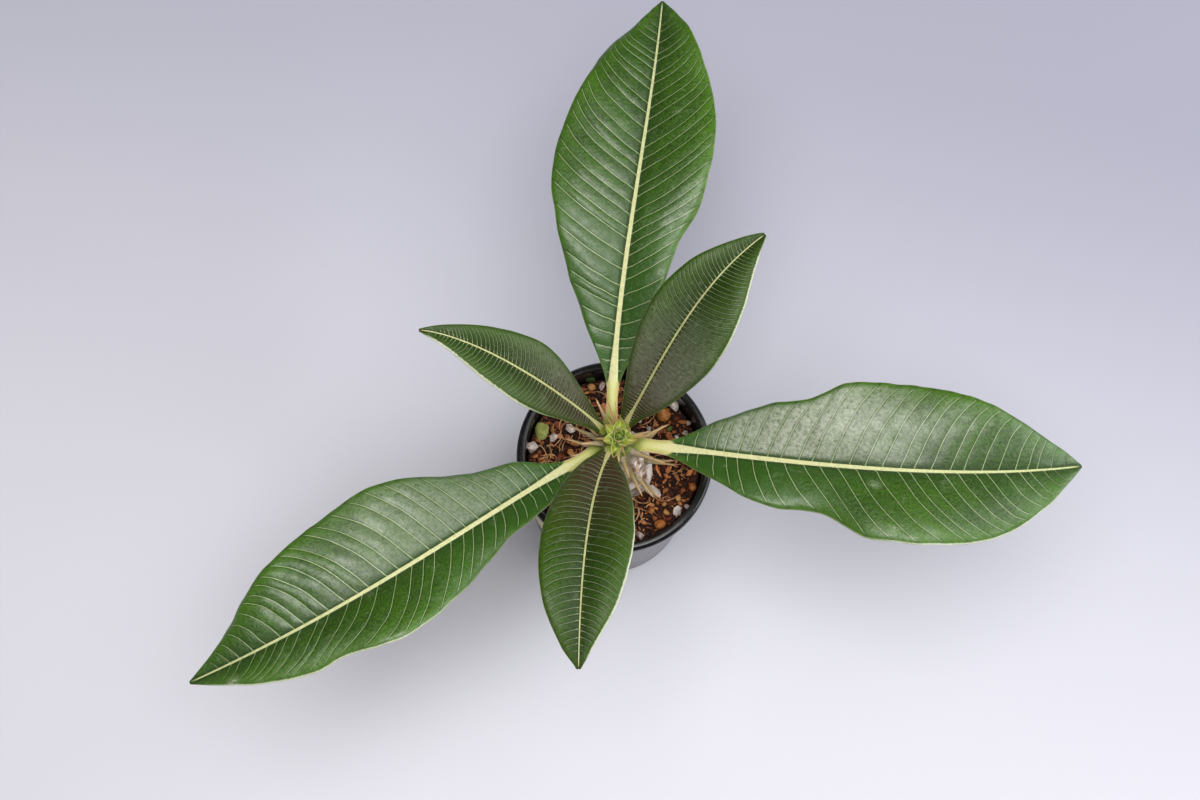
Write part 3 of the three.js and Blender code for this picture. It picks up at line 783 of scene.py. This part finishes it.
def add_blade(shape, layers, azimuth, length, lean, half_width, spine):
    """One folded blade of the bud: a broad sheath (spine 0), or a needle-pointed spine (spine 1)."""
    blade = bmesh.ops.create_grid(shape, x_segments=8, y_segments=20, size=1)["verts"]
    faces = list({face for vert in blade for face in vert.link_faces})
    for vert in blade:
        across, t = vert.co.x, (vert.co.y + 1) / 2
        half = half_width * ((1 - t) ** 1.1 if spine else (1 - t ** 2) ** 0.8) + 0.04
        keel = half * abs(across) ** 1.4
        bow = (0.05 if spine else 0.2) * length * math.sin(math.pi * t)
        vert.co = (bow - keel * 0.8, half * across, length * t)
        vert[layers["along"]] = t
        vert[layers["edge"]] = abs(across)
        vert[layers["spine"]] = spine
    under = draw_out(shape, faces)
    bmesh.ops.translate(shape, vec=(BLADE_THICK, 0, 0), verts=under)
    whole = blade + under
    for angle, axis, shift in ((lean, "Y", (BUD_RADIUS * 0.4, 0, 0.6)), (azimuth, "Z", BUD_AT)):
        turn = Matrix.Rotation(math.radians(angle), 3, axis)
        bmesh.ops.rotate(shape, cent=(0, 0, 0), matrix=turn, verts=whole)
        bmesh.ops.translate(shape, vec=shift, verts=whole)


def make_bud():
    shape = bmesh.new()
    layers = {name: shape.verts.layers.float.new(name) for name in BUD_LAYERS}
    core = [(0, 0), (BUD_RADIUS, 0), (BUD_RADIUS, 1.2), (BUD_RADIUS * 0.6, BUD_HEIGHT * 0.7)]
    turn_profile(shape, core + [(0, BUD_HEIGHT)], 24)
    round_edges(shape, 0.5, 20)
    for vert in shape.verts:
        vert.co += BUD_AT
    for sheath in SHEATHS:
        add_blade(shape, layers, *sheath, 0)
    for spine in BUD_SPINES:
        add_blade(shape, layers, *spine, 1)
    bmesh.ops.recalc_face_normals(shape, faces=shape.faces)
    return shape


def bud_finish():
    values = {"roughness": 0.42, "subsurface_weight": 0.15, "subsurface_scale": 0.002}
    finish, place = new_finish("young_green", **values)
    along, edge, spine = [place.read(layer) for layer in BUD_LAYERS]
    veil = place.grain(900, 4, 0.6)
    ragged = along + (veil - 0.5) * 0.3
    green = (veil * 0.8 + along * 0.5).rise(0.3, 0.7).blend("2f4d0a", "a4b040")
    ridge = (edge.rise(0.8, 0.98) + edge.rise(0.16, 0.02) * 0.6) * along.rise(0.02, 0.3) * 0.85
    sheath = ridge.blend(green, "dfe2a4")
    sheath = ragged.rise(0.6, 0.95).blend(sheath, "b59a66")
    wood = ragged.rise(0.05, 0.5).blend("4e5a1c", "b08c58")
    wood = (edge.rise(0.75, 1.0) * 0.8).blend(wood, "dfdcae")
    wood = along.rise(0.85, 1.0).blend(wood, "a0744a")
    return paint(finish, base_color=spine.blend(sheath, wood), normal=veil.relief(0.08))


set_down("crown_bud", make_bud(), bud_finish(), "tip_green", "growing_tip", sharp=60)

# Leaves: six blades of firm green tissue about half a millimetre thick, each grown with its fleshy
# petiole from the crown. The midrib is a raised cord, the side veins are sunk in, and the blade is
# quilted between them. The three full-grown leaves arch outwards; the young ones stand up.

# What leaves of one age share: where the petiole and the blade start, as shares of the midrib; how
# unevenly the veins are spaced; at the foot and at the tip, the midrib's half-width and depth and the
# half-width of the raised cord on it; how the skin buckles and sinks beside the cord; how the margin
# ripples and the veins wobble; and half the blade's thickness
FULL_GROWN = {
    "slot": "leaf_green", "root": -0.02, "blade_start": 0.1, "petiole_rows": 18, "jitter": 0.3,
    "rib_half": (2.2, 0.45), "rib_depth": (2.9, 0.3), "cord_half": (1.0, 0.22), "cord_rise": 0.75,
    "buckle": 0.6, "beside": -0.12, "ripple": 0.4, "wobble": 0.0022, "half_thick": 0.3,
    "fold": 0.42, "roll": 0.22,
}
YOUNG = {
    "slot": "leaf_olive", "root": -0.06, "blade_start": 0.03, "petiole_rows": 4, "jitter": 0.2,
    "rib_half": (1.25, 0.3), "rib_depth": (1.6, 0.2), "cord_half": (0.48, 0.15), "cord_rise": 0.45,
    "buckle": 0.35, "beside": -0.04, "ripple": 0.2, "wobble": 0.0015, "half_thick": 0.26,
    "roll": 0.3, "twist": 0, "scars": [],
}
# Each leaf: its veins on a side, its twist in degrees, the curve of its midrib, how its halves fold up
# and roll over, the margin's waves as (height, count, phase), and scars as (share of the midrib,
# distance from it, size). For both sides, left then right: how far the veins sweep forward and the
# skin between them swells, how wide a painted highlight runs along the lit margin and how much painted
# sheen shows on the skin, and the half-widths as (share of the midrib, width).
LEAVES = [
    {
        "name": "back_leaf", "node": "leaf_back", **FULL_GROWN, "veins": 33, "twist": 8,
        "rib": [(-3, 1, 110), (-8, 46, 139), (-1, 108, 143), (-2, 163, 129)],
        "wave": (1.5, 3.2, 0.1), "scars": [(0.545, -14, 0.7), (0.72, -9, 0.6)],
        "sweep": (0.42, 0.42), "quilt": (0.19, 0.07), "pale_margin": (0, 0.15), "wax": (0.1, 0),
        "half_widths": (
            [(0, 2.4), (0.1, 2.5), (0.2, 10), (0.32, 19.6), (0.45, 27.6), (0.53, 30.6), (0.64, 29.2),
             (0.75, 23.8), (0.86, 17), (0.95, 6.2), (1, 0.6)],
            [(0, 2.4), (0.1, 2.5), (0.2, 8.9), (0.33, 15.6), (0.41, 18.2), (0.5, 24.4), (0.64, 26.2),
             (0.75, 22.8), (0.88, 14), (0.95, 7.2), (1, 0.6)],
        ),
    },
    {
        "name": "right_leaf", "node": "leaf_right", **FULL_GROWN, "veins": 29, "twist": 0,
        "rib": [(4, -3, 106.5), (36, -7, 122.5), (105, -17, 149), (161, 1, 131)],
        "wave": (2, 2.6, 0.4), "scars": [(0.59, 22, 1.3), (0.55, 6, 1.6)],
        "sweep": (0.34, 0.42), "quilt": (0.07, 0.07), "pale_margin": (0, 0.35), "wax": (1, 0),
        "half_widths": (
            [(0, 2.9), (0.1, 3.1), (0.2, 12.2), (0.3, 18.8), (0.4, 21.8), (0.48, 28.4), (0.62, 29.6),
             (0.75, 25.4), (0.86, 17.2), (0.95, 8), (1, 0.6)],
            [(0, 2.9), (0.1, 3.1), (0.2, 9.2), (0.33, 17.2), (0.45, 17.8), (0.54, 25.6), (0.7, 26.4),
             (0.8, 22.6), (0.9, 12.8), (0.95, 6.4), (1, 0.6)],
        ),
    },
    {
        "name": "left_leaf", "node": "leaf_left", **FULL_GROWN, "veins": 33, "twist": -8,
        "rib": [(-5, -5, 107), (-49, -45, 128), (-77, -79, 152), (-134, -107, 121)],
        "wave": (1.9, 3, 0.7), "scars": [(0.9, -7, 2.2)],
        "sweep": (0.42, 0.34), "quilt": (0.07, 0.16), "pale_margin": (0.35, 0), "wax": (0, 0.4),
        "half_widths": (
            [(0, 2.4), (0.1, 2.6), (0.2, 8.9), (0.33, 12.2), (0.45, 18.2), (0.58, 22.6), (0.69, 17),
             (0.76, 16.4), (0.86, 11.2), (0.95, 4.4), (1, 0.6)],
            [(0, 2.4), (0.1, 2.6), (0.2, 11.6), (0.3, 17.2), (0.42, 25.8), (0.52, 29.8), (0.65, 27.8),
             (0.78, 21), (0.88, 11.5), (0.95, 4.4), (1, 0.6)],
        ),
    },
    {
        "name": "young_left_leaf", "node": "leaf_young_left", **YOUNG, "veins": 56, "fold": 0.6,
        "rib": [(-5, -1.5, 113), (-18, 4, 131), (-50, 14, 160), (-71, 14, 158)], "wave": (0.5, 2, 0.2),
        "sweep": (0.24, 0.3), "quilt": (0.05, 0.05), "pale_margin": (0.6, 0), "wax": (0, 0.25),
        "half_widths": (
            [(0, 1.6), (0.1, 3.4), (0.2, 5.9), (0.4, 10.5), (0.54, 11.8), (0.7, 10.1), (0.9, 4.1),
             (1, 0.5)],
            [(0, 1.6), (0.1, 2.6), (0.2, 4.9), (0.4, 9.8), (0.53, 11.2), (0.7, 8.8), (0.9, 3.5),
             (1, 0.5)],
        ),
    },
    {
        "name": "young_front_leaf", "node": "leaf_young_front", **YOUNG, "veins": 38, "fold": 0.5,
        "rib": [(-2, -7, 114), (-9, -30, 133), (-8, -61, 154), (-5, -90, 142)], "wave": (0.5, 2, 0.6),
        "sweep": (0.24, 0.24), "quilt": (0.06, 0.06), "pale_margin": (0.55, 0), "wax": (0, 0),
        "half_widths": (
            [(0, 1.6), (0.1, 5.4), (0.2, 10), (0.35, 14), (0.54, 15.9), (0.75, 12.6), (0.92, 4.8),
             (0.985, 1.5), (1, 0.8)],
            [(0, 1.6), (0.1, 5), (0.2, 8.7), (0.35, 12.7), (0.54, 15.3), (0.75, 13.2), (0.92, 6),
             (0.985, 1.6), (1, 0.8)],
        ),
    },
    {
        "name": "young_back_leaf", "node": "leaf_young_back", **YOUNG, "veins": 58, "fold": 0.6,
        "rib": [(1, 0, 114), (10, 15, 135), (18, 38, 165), (41, 60, 164)], "wave": (0.5, 2, 0.9),
        "sweep": (0.24, 0.24), "quilt": (0.05, 0.05), "pale_margin": (0, 0.4), "wax": (0.3, 0.4),
        "half_widths": (
            [(0, 1.6), (0.1, 4.2), (0.2, 6.7), (0.38, 11.1), (0.56, 13.4), (0.74, 10.9), (0.9, 4.9),
             (0.985, 1.5), (1, 0.8)],
            [(0, 1.6), (0.1, 4.7), (0.2, 9.4), (0.38, 15.2), (0.54, 17.9), (0.72, 15.1), (0.9, 6.4),
             (0.985, 1.6), (1, 0.8)],
        ),
    },
]
# Rows within one panel between two veins, and columns from the midrib out as shares of the cord's
# half-width. From the cord to the margin the columns stand closest at both ends.
PANEL_ROWS = (0, 0.07, 0.18, 0.34, 0.5, 0.66, 0.82, 0.93)
CORD_COLUMNS = (0, 0.4, 0.7, 0.9, 1.0, 1.15)
BLADE_COLUMNS = 24
COLUMN_CROWDING = 0.75
VEIN_BOW = 0.35
VEIN_SLANT = 0.88
PUFFINESS = 0.35
HALF_BEAT = 0.23
MARGIN_DROOP = 0.3
MIDRIB_STEPS = 200
LEAF_SEED = 5
LEAF_LAYERS = (
    "rib_gap", "edge_gap", "vein_gap", "vein", "share", "stalk", "pale_margin", "wax", "scar", "upper",
)


class Midrib:
    """The curve of a leaf's midrib, walked by the share of its length."""

    def __init__(self, leaf):
        self.knots = [Vector(knot) for knot in leaf["rib"]]
        self.twist = math.radians(leaf["twist"])
        places = [self.point(i / MIDRIB_STEPS) for i in range(MIDRIB_STEPS + 1)]
        self.reach = [0.0]
        for before, after in zip(places, places[1:]):
            self.reach.append(self.reach[-1] + (after - before).length)
        self.length = self.reach[-1]

    def point(self, t):
        a, b, c, d = self.knots
        return a * (1 - t) ** 3 + b * 3 * t * (1 - t) ** 2 + c * 3 * t * t * (1 - t) + d * t ** 3

    def frame(self, share):
        """The point at a share of the length, and the directions across and up from it."""
        goal = share * self.length
        i = min(max(bisect_right(self.reach, goal) - 1, 0), MIDRIB_STEPS - 1)
        t = (i + (goal - self.reach[i]) / (self.reach[i + 1] - self.reach[i])) / MIDRIB_STEPS
        a, b, c, d = self.knots
        along = ((b - a) * (1 - t) ** 2 + (c - b) * 2 * t * (1 - t) + (d - c) * t * t).normalized()
        across = along.cross(Vector((0, 0, 1))).normalized()
        up = across.cross(along)
        turn = self.twist * smooth(share, 0, 0.4)
        side = across * math.cos(turn) + up * math.sin(turn)
        lift = up * math.cos(turn) - across * math.sin(turn)
        return self.point(t), side, lift


def vein_joints(leaf, random):
    """Where the veins of one half join the midrib, as shares of its length, widest in the middle."""
    steps = []
    for k in range(leaf["veins"]):
        wide = 0.78 + 0.4 * math.sin(math.pi * k / leaf["veins"])
        steps.append(wide * (1 + leaf["jitter"] * random.uniform(-1, 1)))
    joints = [0.0]
    for step in steps:
        joints.append(joints[-1] + step / sum(steps))
    return [mix(leaf["blade_start"], 1, joint) for joint in joints]


def leaf_share(leaf, joints, shift, step, column, out):
    """How far along the midrib a point lies, on a row that sweeps forward as the veins do."""
    start = leaf["blade_start"]
    hand = (column > 0) - (column < 0)
    near = abs(column) / len(CORD_COLUMNS)

    def joint_share(side):
        k = min(int(step), leaf["veins"] - 1)
        return mix(joints[side][k], joints[side][k + 1], step - k)

    if step < 0:
        base = mix(leaf["root"], start, 1 + step)
    elif near < 1:
        even = (joint_share(-1) + joint_share(1)) / 2
        base = mix(even, joint_share(hand), near) if hand else even
    else:
        base = joint_share(hand)
    slant = leaf["sweep"][hand > 0] * smooth(base, start, 0.8) * mix(out, out ** 3, VEIN_BOW)
    bent = noise.noise(Vector((out * 3.5, base * 22, shift.y + 9 * hand))) * smooth(out, 0, 0.15)
    return min(1, base + (1 - base) * slant + leaf["wobble"] * bent * (1 - smooth(base, 0.8, 1)))


def leaf_point(leaf, rib, joints, puffs, shift, step, column):
    """The upper and lower points of a leaf at one row and column, and what its finish reads there."""
    start = leaf["blade_start"]
    hand = (column > 0) - (column < 0)
    half_leaf = hand or 1
    position = abs(column)
    out = max(0, (position - len(CORD_COLUMNS) + 1) / BLADE_COLUMNS)
    out -= COLUMN_CROWDING * math.sin(2 * math.pi * out) / (2 * math.pi)
    share = leaf_share(leaf, joints, shift, step, column, out)
    point, side, lift = rib.frame(share)

    # The leaf's half-width there, the raised cord's, and how far from the midrib the point lies
    taper = math.sqrt(max(0, share))
    rib_half = mix(*leaf["rib_half"], taper)
    half = max(station_value(leaf["half_widths"][hand > 0], share), rib_half + 0.15)
    ripple = noise.noise(Vector((share * rib.length * 0.14, 7 * hand, shift.x)))
    half += leaf["ripple"] * ripple * smooth(half, 4, 10)
    if hand == 0:
        half = rib_half + 0.15
    foot, tip = leaf["cord_half"]
    cord = mix(rib_half, mix(tip, foot, (1 - share) ** 0.8), smooth(share, start, start + 0.11))
    cord = min(cord, half / 1.3)
    if position < len(CORD_COLUMNS):
        x = cord * CORD_COLUMNS[position]
    else:
        x = mix(cord * CORD_COLUMNS[-1], half, out)
    s = x / half

    # The blade's height: its waves and fold, the swellings between veins, and uneven growth
    height, count, phase = leaf["wave"]
    beat = count * share + phase + HALF_BEAT * hand
    wave = height * math.sin(2 * math.pi * beat) * smooth(half, 3, 14) * s * s
    folded = half * (leaf["fold"] * s - leaf["roll"] * s ** 3)
    within = step - math.floor(step) if step >= 0 else 0
    panel = min(max(int(step), 0), leaf["veins"] - 1)
    pillow = 1 - (2 * within - 1) ** 2
    swell = smooth(out, 0, 0.1) * (1 - smooth(out, 0.8, 1)) * smooth(half, 2, 8)
    puff = 1 + PUFFINESS * puffs[half_leaf][panel]
    quilt = leaf["quilt"][hand > 0] * (2 * pillow - 1) * swell * puff
    spot = Vector((hand * x, share * rib.length, 0)) * 0.07 + shift
    quilt += leaf["buckle"] * (noise.noise(spot) + 0.4 * noise.noise(spot * 3)) * smooth(x - cord, 0, 4)
    beside = leaf["beside"] * math.exp(-(((x - cord - 0.7) / 0.8) ** 2)) * smooth(x - cord, 0, 0.5)
    edge = -MARGIN_DROOP * smooth(out, 0.94, 1) * smooth(half, 3, 10)
    blade = smooth(share, start, start + 0.12)
    centre = point + side * (hand * x) + lift * ((folded + wave + quilt + beside) * blade + edge * blade)

    # How thick it is above and below that height
    cord_rise = leaf["cord_rise"] * max(0, 1 - (x / (cord * 1.15)) ** 2) ** 0.6
    cord_rise *= 0.35 + 0.65 * (1 - share)
    depth = mix(*leaf["rib_depth"], taper) * math.exp(-1.05 * (x / rib_half) ** 2)
    sheet = leaf["half_thick"] * (1 - 0.45 * smooth(out, 0.9, 1))

    scar = 0
    for at, off, size in leaf["scars"]:
        far = ((share - at) * rib.length / size) ** 2 + ((hand * x - off) / size / 0.6) ** 2
        scar = max(scar, math.exp(-far))
    panel_length = (joints[half_leaf][panel + 1] - joints[half_leaf][panel]) * rib.length
    # How wide a painted highlight runs along this half's margin
    painted_highlight = leaf["pale_margin"][hand > 0] * smooth(share, 0.15, 0.75) * (1 - smooth(share, 0.9, 1))
    # A painted sheen on this half's skin, fading before the tip
    wax = leaf["wax"][hand > 0] * smooth(share, 0.12, 0.28) * (1 - smooth(share, 0.36, 0.76))
    values = {
        "rib_gap": x - cord,
        "edge_gap": half - x,
        "vein_gap": min(within, 1 - within) * panel_length * VEIN_SLANT,
        "vein": (step + 1) * half_leaf,
        "share": share,
        "stalk": 1 - smooth(share + 0.02 * s, start + 0.012, start + 0.022),
        "pale_margin": painted_highlight,
        "wax": wax * smooth(out, 0, 0.1),
        "scar": scar,
    }
    return centre + lift * (sheet + cord_rise), centre - lift * (sheet + depth), values


def make_leaf(leaf, seed):
    """Lays out the upper skin as a grid of rows and columns, and draws the lower skin from it."""
    random = Random(seed)
    rib = Midrib(leaf)
    joints = {side: vein_joints(leaf, random) for side in (-1, 1)}
    puffs = {side: [random.uniform(-1, 1) for _ in range(leaf["veins"])] for side in (-1, 1)}
    shift = Vector((random.uniform(0, 90), random.uniform(0, 90), 0))
    steps = [i / leaf["petiole_rows"] - 1 for i in range(leaf["petiole_rows"])]
    steps += [k + row for k in range(leaf["veins"]) for row in PANEL_ROWS] + [leaf["veins"]]
    widest = len(CORD_COLUMNS) - 1 + BLADE_COLUMNS

    shape = bmesh.new()
    layers = {name: shape.verts.layers.float.new(name) for name in LEAF_LAYERS}
    rows = len(steps) - 1
    top = bmesh.ops.create_grid(shape, x_segments=widest * 2, y_segments=rows, size=1)["verts"]
    lower = {}
    for vert in top:
        column = round(vert.co.x * widest)
        row = round((vert.co.y + 1) / 2 * rows)
        above, below, values = leaf_point(leaf, rib, joints, puffs, shift, steps[row], column)
        vert.co = above
        lower[vert.index] = below
        for name, value in values.items():
            vert[layers[name]] = value
        vert[layers["upper"]] = vert.index + 1
    # The lower skin's vertices copy their values from the upper ones, and so carry their numbers
    for vert in draw_out(shape, shape.faces[:]):
        vert.co = lower[round(vert[layers["upper"]]) - 1]
        vert[layers["upper"]] = 0
    for vert in top:
        vert[layers["upper"]] = 1
    bmesh.ops.recalc_face_normals(shape, faces=shape.faces)
    return shape


def leaf_finish(name, tones, line_half, line_weight, hollow_width, roughness, coat, gloss):
    """Leaf skin: leathery and green above, with pale veins, midrib and margin, and matt below."""
    finish, place = new_finish(name, ior=1.5, specular_ior_level=gloss, coat_roughness=0.3)
    marks = [place.read(layer) for layer in LEAF_LAYERS]
    rib_gap, edge_gap, vein_gap, vein, share, stalk, pale_margin, wax, scar, upper = marks
    cloud = place.grain(50, 3, 0.5)
    wrinkle = place.grain(760, 4, 0.65)
    grit = place.grain(1900, 3, 0.7)
    speck = place.grain(1150, 2, 0.7).rise(0.38, 0.62)
    luck = vein.node("TexWhiteNoise", {"noise_dimensions": "1D"}, {"W": vein.maths("FLOOR", vein)})

    # The skin between the veins: mottled, dark beside the midrib, fresh at the margin, with a painted pale
    # sheen in places
    mottle = cloud * 0.3 + wrinkle * 0.4 + speck * 0.2 + grit * 0.4 + luck * 0.1 + edge_gap.rise(9, 1) * 0.2
    green = mottle.rise(0.35, 1.05).blend(tones["deep"], tones["fresh"])
    green = (rib_gap.rise(7, 0.3) * 0.5).blend(green, tones["deep"])
    green = (share + (wrinkle - 0.5) * 0.25).rise(0.64, 0.12).blend(green, tones["base"])
    green = (edge_gap.rise(3.0, 0.4) * 0.5).blend(green, tones["fresh"])
    # Painted sheen: a pale whitish veil on the green where the skin catches the overhead light
    sheen_veil = wax * (wrinkle + grit * 0.5).rise(0.36, 0.92) * edge_gap.rise(0.3, 3)
    green = (sheen_veil * 0.5).blend(green, "d8d8ca")

    # The veins, each a pale line with painted shade in the fold beside it, then scuffs, and the margin with
    # its painted highlight
    ragged = vein_gap + (grit - 0.5) * 0.1 - rib_gap.rise(1.3, 0.0) * line_half * 1.4
    # Painted shade: the deep green darkens the sunk fold along each vein
    green = (ragged.rise(line_half * 7, line_half * 1.5) * 0.54).blend(green, tones["deep"])
    line = ragged.rise(line_half * 1.5, line_half * 0.4) * edge_gap.rise(0.5, 2.0) * share.rise(1.0, 0.85)
    green = (line * (line_weight + 0.25 * rib_gap.rise(3, 0))).blend(green, tones["line"])
    scuff = (place.grain(190, 5, 0.72).rise(0.56, 0.72) * 0.2).most(scar * 0.8)
    green = (scuff * grit.rise(0.35, 0.6)).blend(green, "a9b596")
    # Painted highlight: a whitish band along the margin on the side where the rolled edge catches the light
    highlight_reach = pale_margin * (place.grain(1400, 4, 0.7).rise(0.34, 0.66) * 0.5 + 0.5)
    painted_highlight = (edge_gap - highlight_reach).rise(0.4, -0.1) * pale_margin.rise(0.0, 0.2)
    rim = edge_gap.rise(0.3, 0.08).most(painted_highlight) * share.rise(0.02, 0.1) * 0.85
    green = rim.blend(green, pale_margin.rise(0.05, 0.4).blend("6c7c34", "d2d8b8"))

    # The midrib in its hollow, darkened with painted shade beside the cord, and the petiole with its
    # flushed edges
    hollow = rib_gap.rise(hollow_width, hollow_width * 0.4)
    # Painted shade: the groove tone darkens the hollow strip beside the cord
    green = (hollow * 0.6).blend(green, tones["groove"])
    streak = place.grain(700, 3, 0.6)
    rib_tone = (streak * 0.8 + share * 0.3).rise(0.25, 0.85).blend(tones["rib"], tones["rib_tip"])
    green = (rib_gap.rise(0.1, -0.08) * share.rise(1.0, 0.975)).blend(green, rib_tone)
    petiole = (edge_gap.rise(0.6, 2.1) * share.rise(0.0, 0.1) * 0.85).blend(tones["petiole"], tones["rib"])
    petiole = (edge_gap.rise(1.0, 0.1) * 0.85).blend(petiole, tones["flush"])
    petiole = (share + (streak - 0.5) * 0.02).rise(0.05, 0.015).blend(petiole, "7f8a34")
    top_side = stalk.blend(green, petiole)

    low_line = (vein_gap.rise(0.5, 0.15) * 0.6).most(rib_gap.rise(1.2, 0.2))
    dull = (cloud * 0.5 + wrinkle * 0.5).rise(0.3, 0.7).blend("5f7d42", "7f9a5c")
    low_side = stalk.blend(low_line.blend(dull, "b9c592"), tones["flush"])

    # The gloss lies in patches, and fades towards the petiole
    patch = place.grain(230, 4, 0.6).rise(0.36, 0.64)
    shine = upper * (1 - hollow * 0.8) * (patch * 0.55 + 0.4)
    shine = shine * (speck * 0.4 + 0.7) * (share.rise(0.1, 0.55) * 0.4 + 0.6)
    return paint(
        finish,
        base_color=upper.rise(0.35, 0.65).blend(low_side, top_side),
        roughness=roughness + (grit - 0.5) * 0.24 + (wrinkle - 0.5) * 0.16 + (scuff + hollow) * 0.3,
        coat_weight=shine * coat,
        normal=(wrinkle + speck * 0.1 + grit * 0.45).relief(0.36),
    )


LEAF_SKINS = {
    "leaf_green": leaf_finish(
        "full_grown_green",
        {
            # groove is the painted shade in the hollow beside the midrib
            "deep": "1b3602", "fresh": "426c04", "base": "295205", "line": "b4c98a", "groove": "1d3605",
            "rib": "e0daa8", "rib_tip": "bcc588", "petiole": "c2c46c", "flush": "c4a583",
        },
        line_half=0.12, line_weight=0.66, hollow_width=1.4, roughness=0.4, coat=0.8, gloss=0.46,
    ),
    "leaf_olive": leaf_finish(
        "young_olive",
        {
            # groove is the painted shade in the hollow beside the midrib
            "deep": "172b00", "fresh": "375600", "base": "3b2818", "line": "98a57c", "groove": "262b05",
            "rib": "a89f66", "rib_tip": "bfc692", "petiole": "8f9548", "flush": "8f7f46",
        },
        line_half=0.08, line_weight=0.5, hollow_width=0.5, roughness=0.44, coat=0.2, gloss=0.26,
    ),
}
for number, leaf in enumerate(LEAVES):
    shape = make_leaf(leaf, LEAF_SEED + number)
    set_down(leaf["name"], shape, LEAF_SKINS[leaf["slot"]], leaf["slot"], leaf["node"], sharp=75)

# Studio: a wide pale table top, painted with shade that darkens it towards the back, a large soft panel
# overhead, a window on the right and the camera, which looks down steeply over the crown. Lights and
# camera are placed in metres.
CAMERA_PLACE = Vector((-0.0081, -0.1555, 0.6902))
CAMERA_RIGHT = Vector((0.99337, 0.11048, 0.03168))
CAMERA_UP = Vector((-0.11494, 0.95489, 0.27381))
CAMERA_BACK = Vector((0.0, -0.27564, 0.96126))
LENS = 50
FLOOR_SIZE = 3000


def floor_finish():
    finish, place = new_finish("pale_table", roughness=0.7)
    x, y = place.part(0), place.part(1)
    # Painted shade: the top grows darker towards the back, and more so on the right, for the lights'
    # falloff
    far = (y + x * 0.1).rise(-0.12, 0.25) * (x.rise(-0.4, 0.4) * 0.3 + 0.75)
    return paint(finish, base_color=far.blend("d6d5df", "a5a5b7"))


floor_shape = bmesh.new()
bmesh.ops.create_grid(floor_shape, x_segments=1, y_segments=1, size=FLOOR_SIZE / 2)
table_top = add_object("table_top", floor_shape, floor_finish())


def add_panel(name, place, aim, width, depth, power, colour):
    """A soft rectangular light that faces a point and that the camera doesn't see."""
    light = bpy.data.lights.new(name, "AREA")
    light.shape = "RECTANGLE"
    light.size = width
    light.size_y = depth
    light.energy = power
    light.color = colour
    panel = bpy.data.objects.new(name, light)
    panel.location = place
    panel.rotation_euler = (Vector(aim) - Vector(place)).to_track_quat("-Z", "Y").to_euler()
    panel.visible_camera = False
    bpy.context.collection.objects.link(panel)


add_panel("overhead_softbox", (0.16, -0.12, 1.35), (0.05, -0.02, 0.1), 1.1, 0.95, 7.4, (1.0, 0.99, 0.965))
add_panel("overhead_lamp", (-0.06, -0.17, 1.2), (0.0, 0.0, 0.1), 0.72, 0.58, 8.6, (1.0, 0.985, 0.95))
add_panel("window", (1.3, 0.25, 0.68), (0.0, 0.0, 0.1), 1.5, 1.1, 17.5, (0.96, 0.98, 1.0))
add_panel("front_fill", (-0.3, -1.7, 1.1), (0.0, 0.0, 0.1), 2.0, 1.2, 1.4, (0.98, 0.99, 1.0))

world = bpy.data.worlds.new("studio")
world.use_nodes = True
world.node_tree.nodes["Background"].inputs["Color"].default_value = (0.86, 0.87, 0.93, 1)
world.node_tree.nodes["Background"].inputs["Strength"].default_value = 0.1
bpy.context.scene.world = world
bpy.context.scene.view_settings.view_transform = "Standard"

camera = bpy.data.objects.new("camera", bpy.data.cameras.new("camera"))
camera.data.lens = LENS
camera.data.sensor_width = 36
camera.data.clip_start = 0.01
axes = Matrix((CAMERA_RIGHT, CAMERA_UP, CAMERA_BACK)).transposed()
camera.matrix_world = Matrix.Translation(CAMERA_PLACE) @ axes.to_4x4()
bpy.context.collection.objects.link(camera)
bpy.context.scene.camera = camera
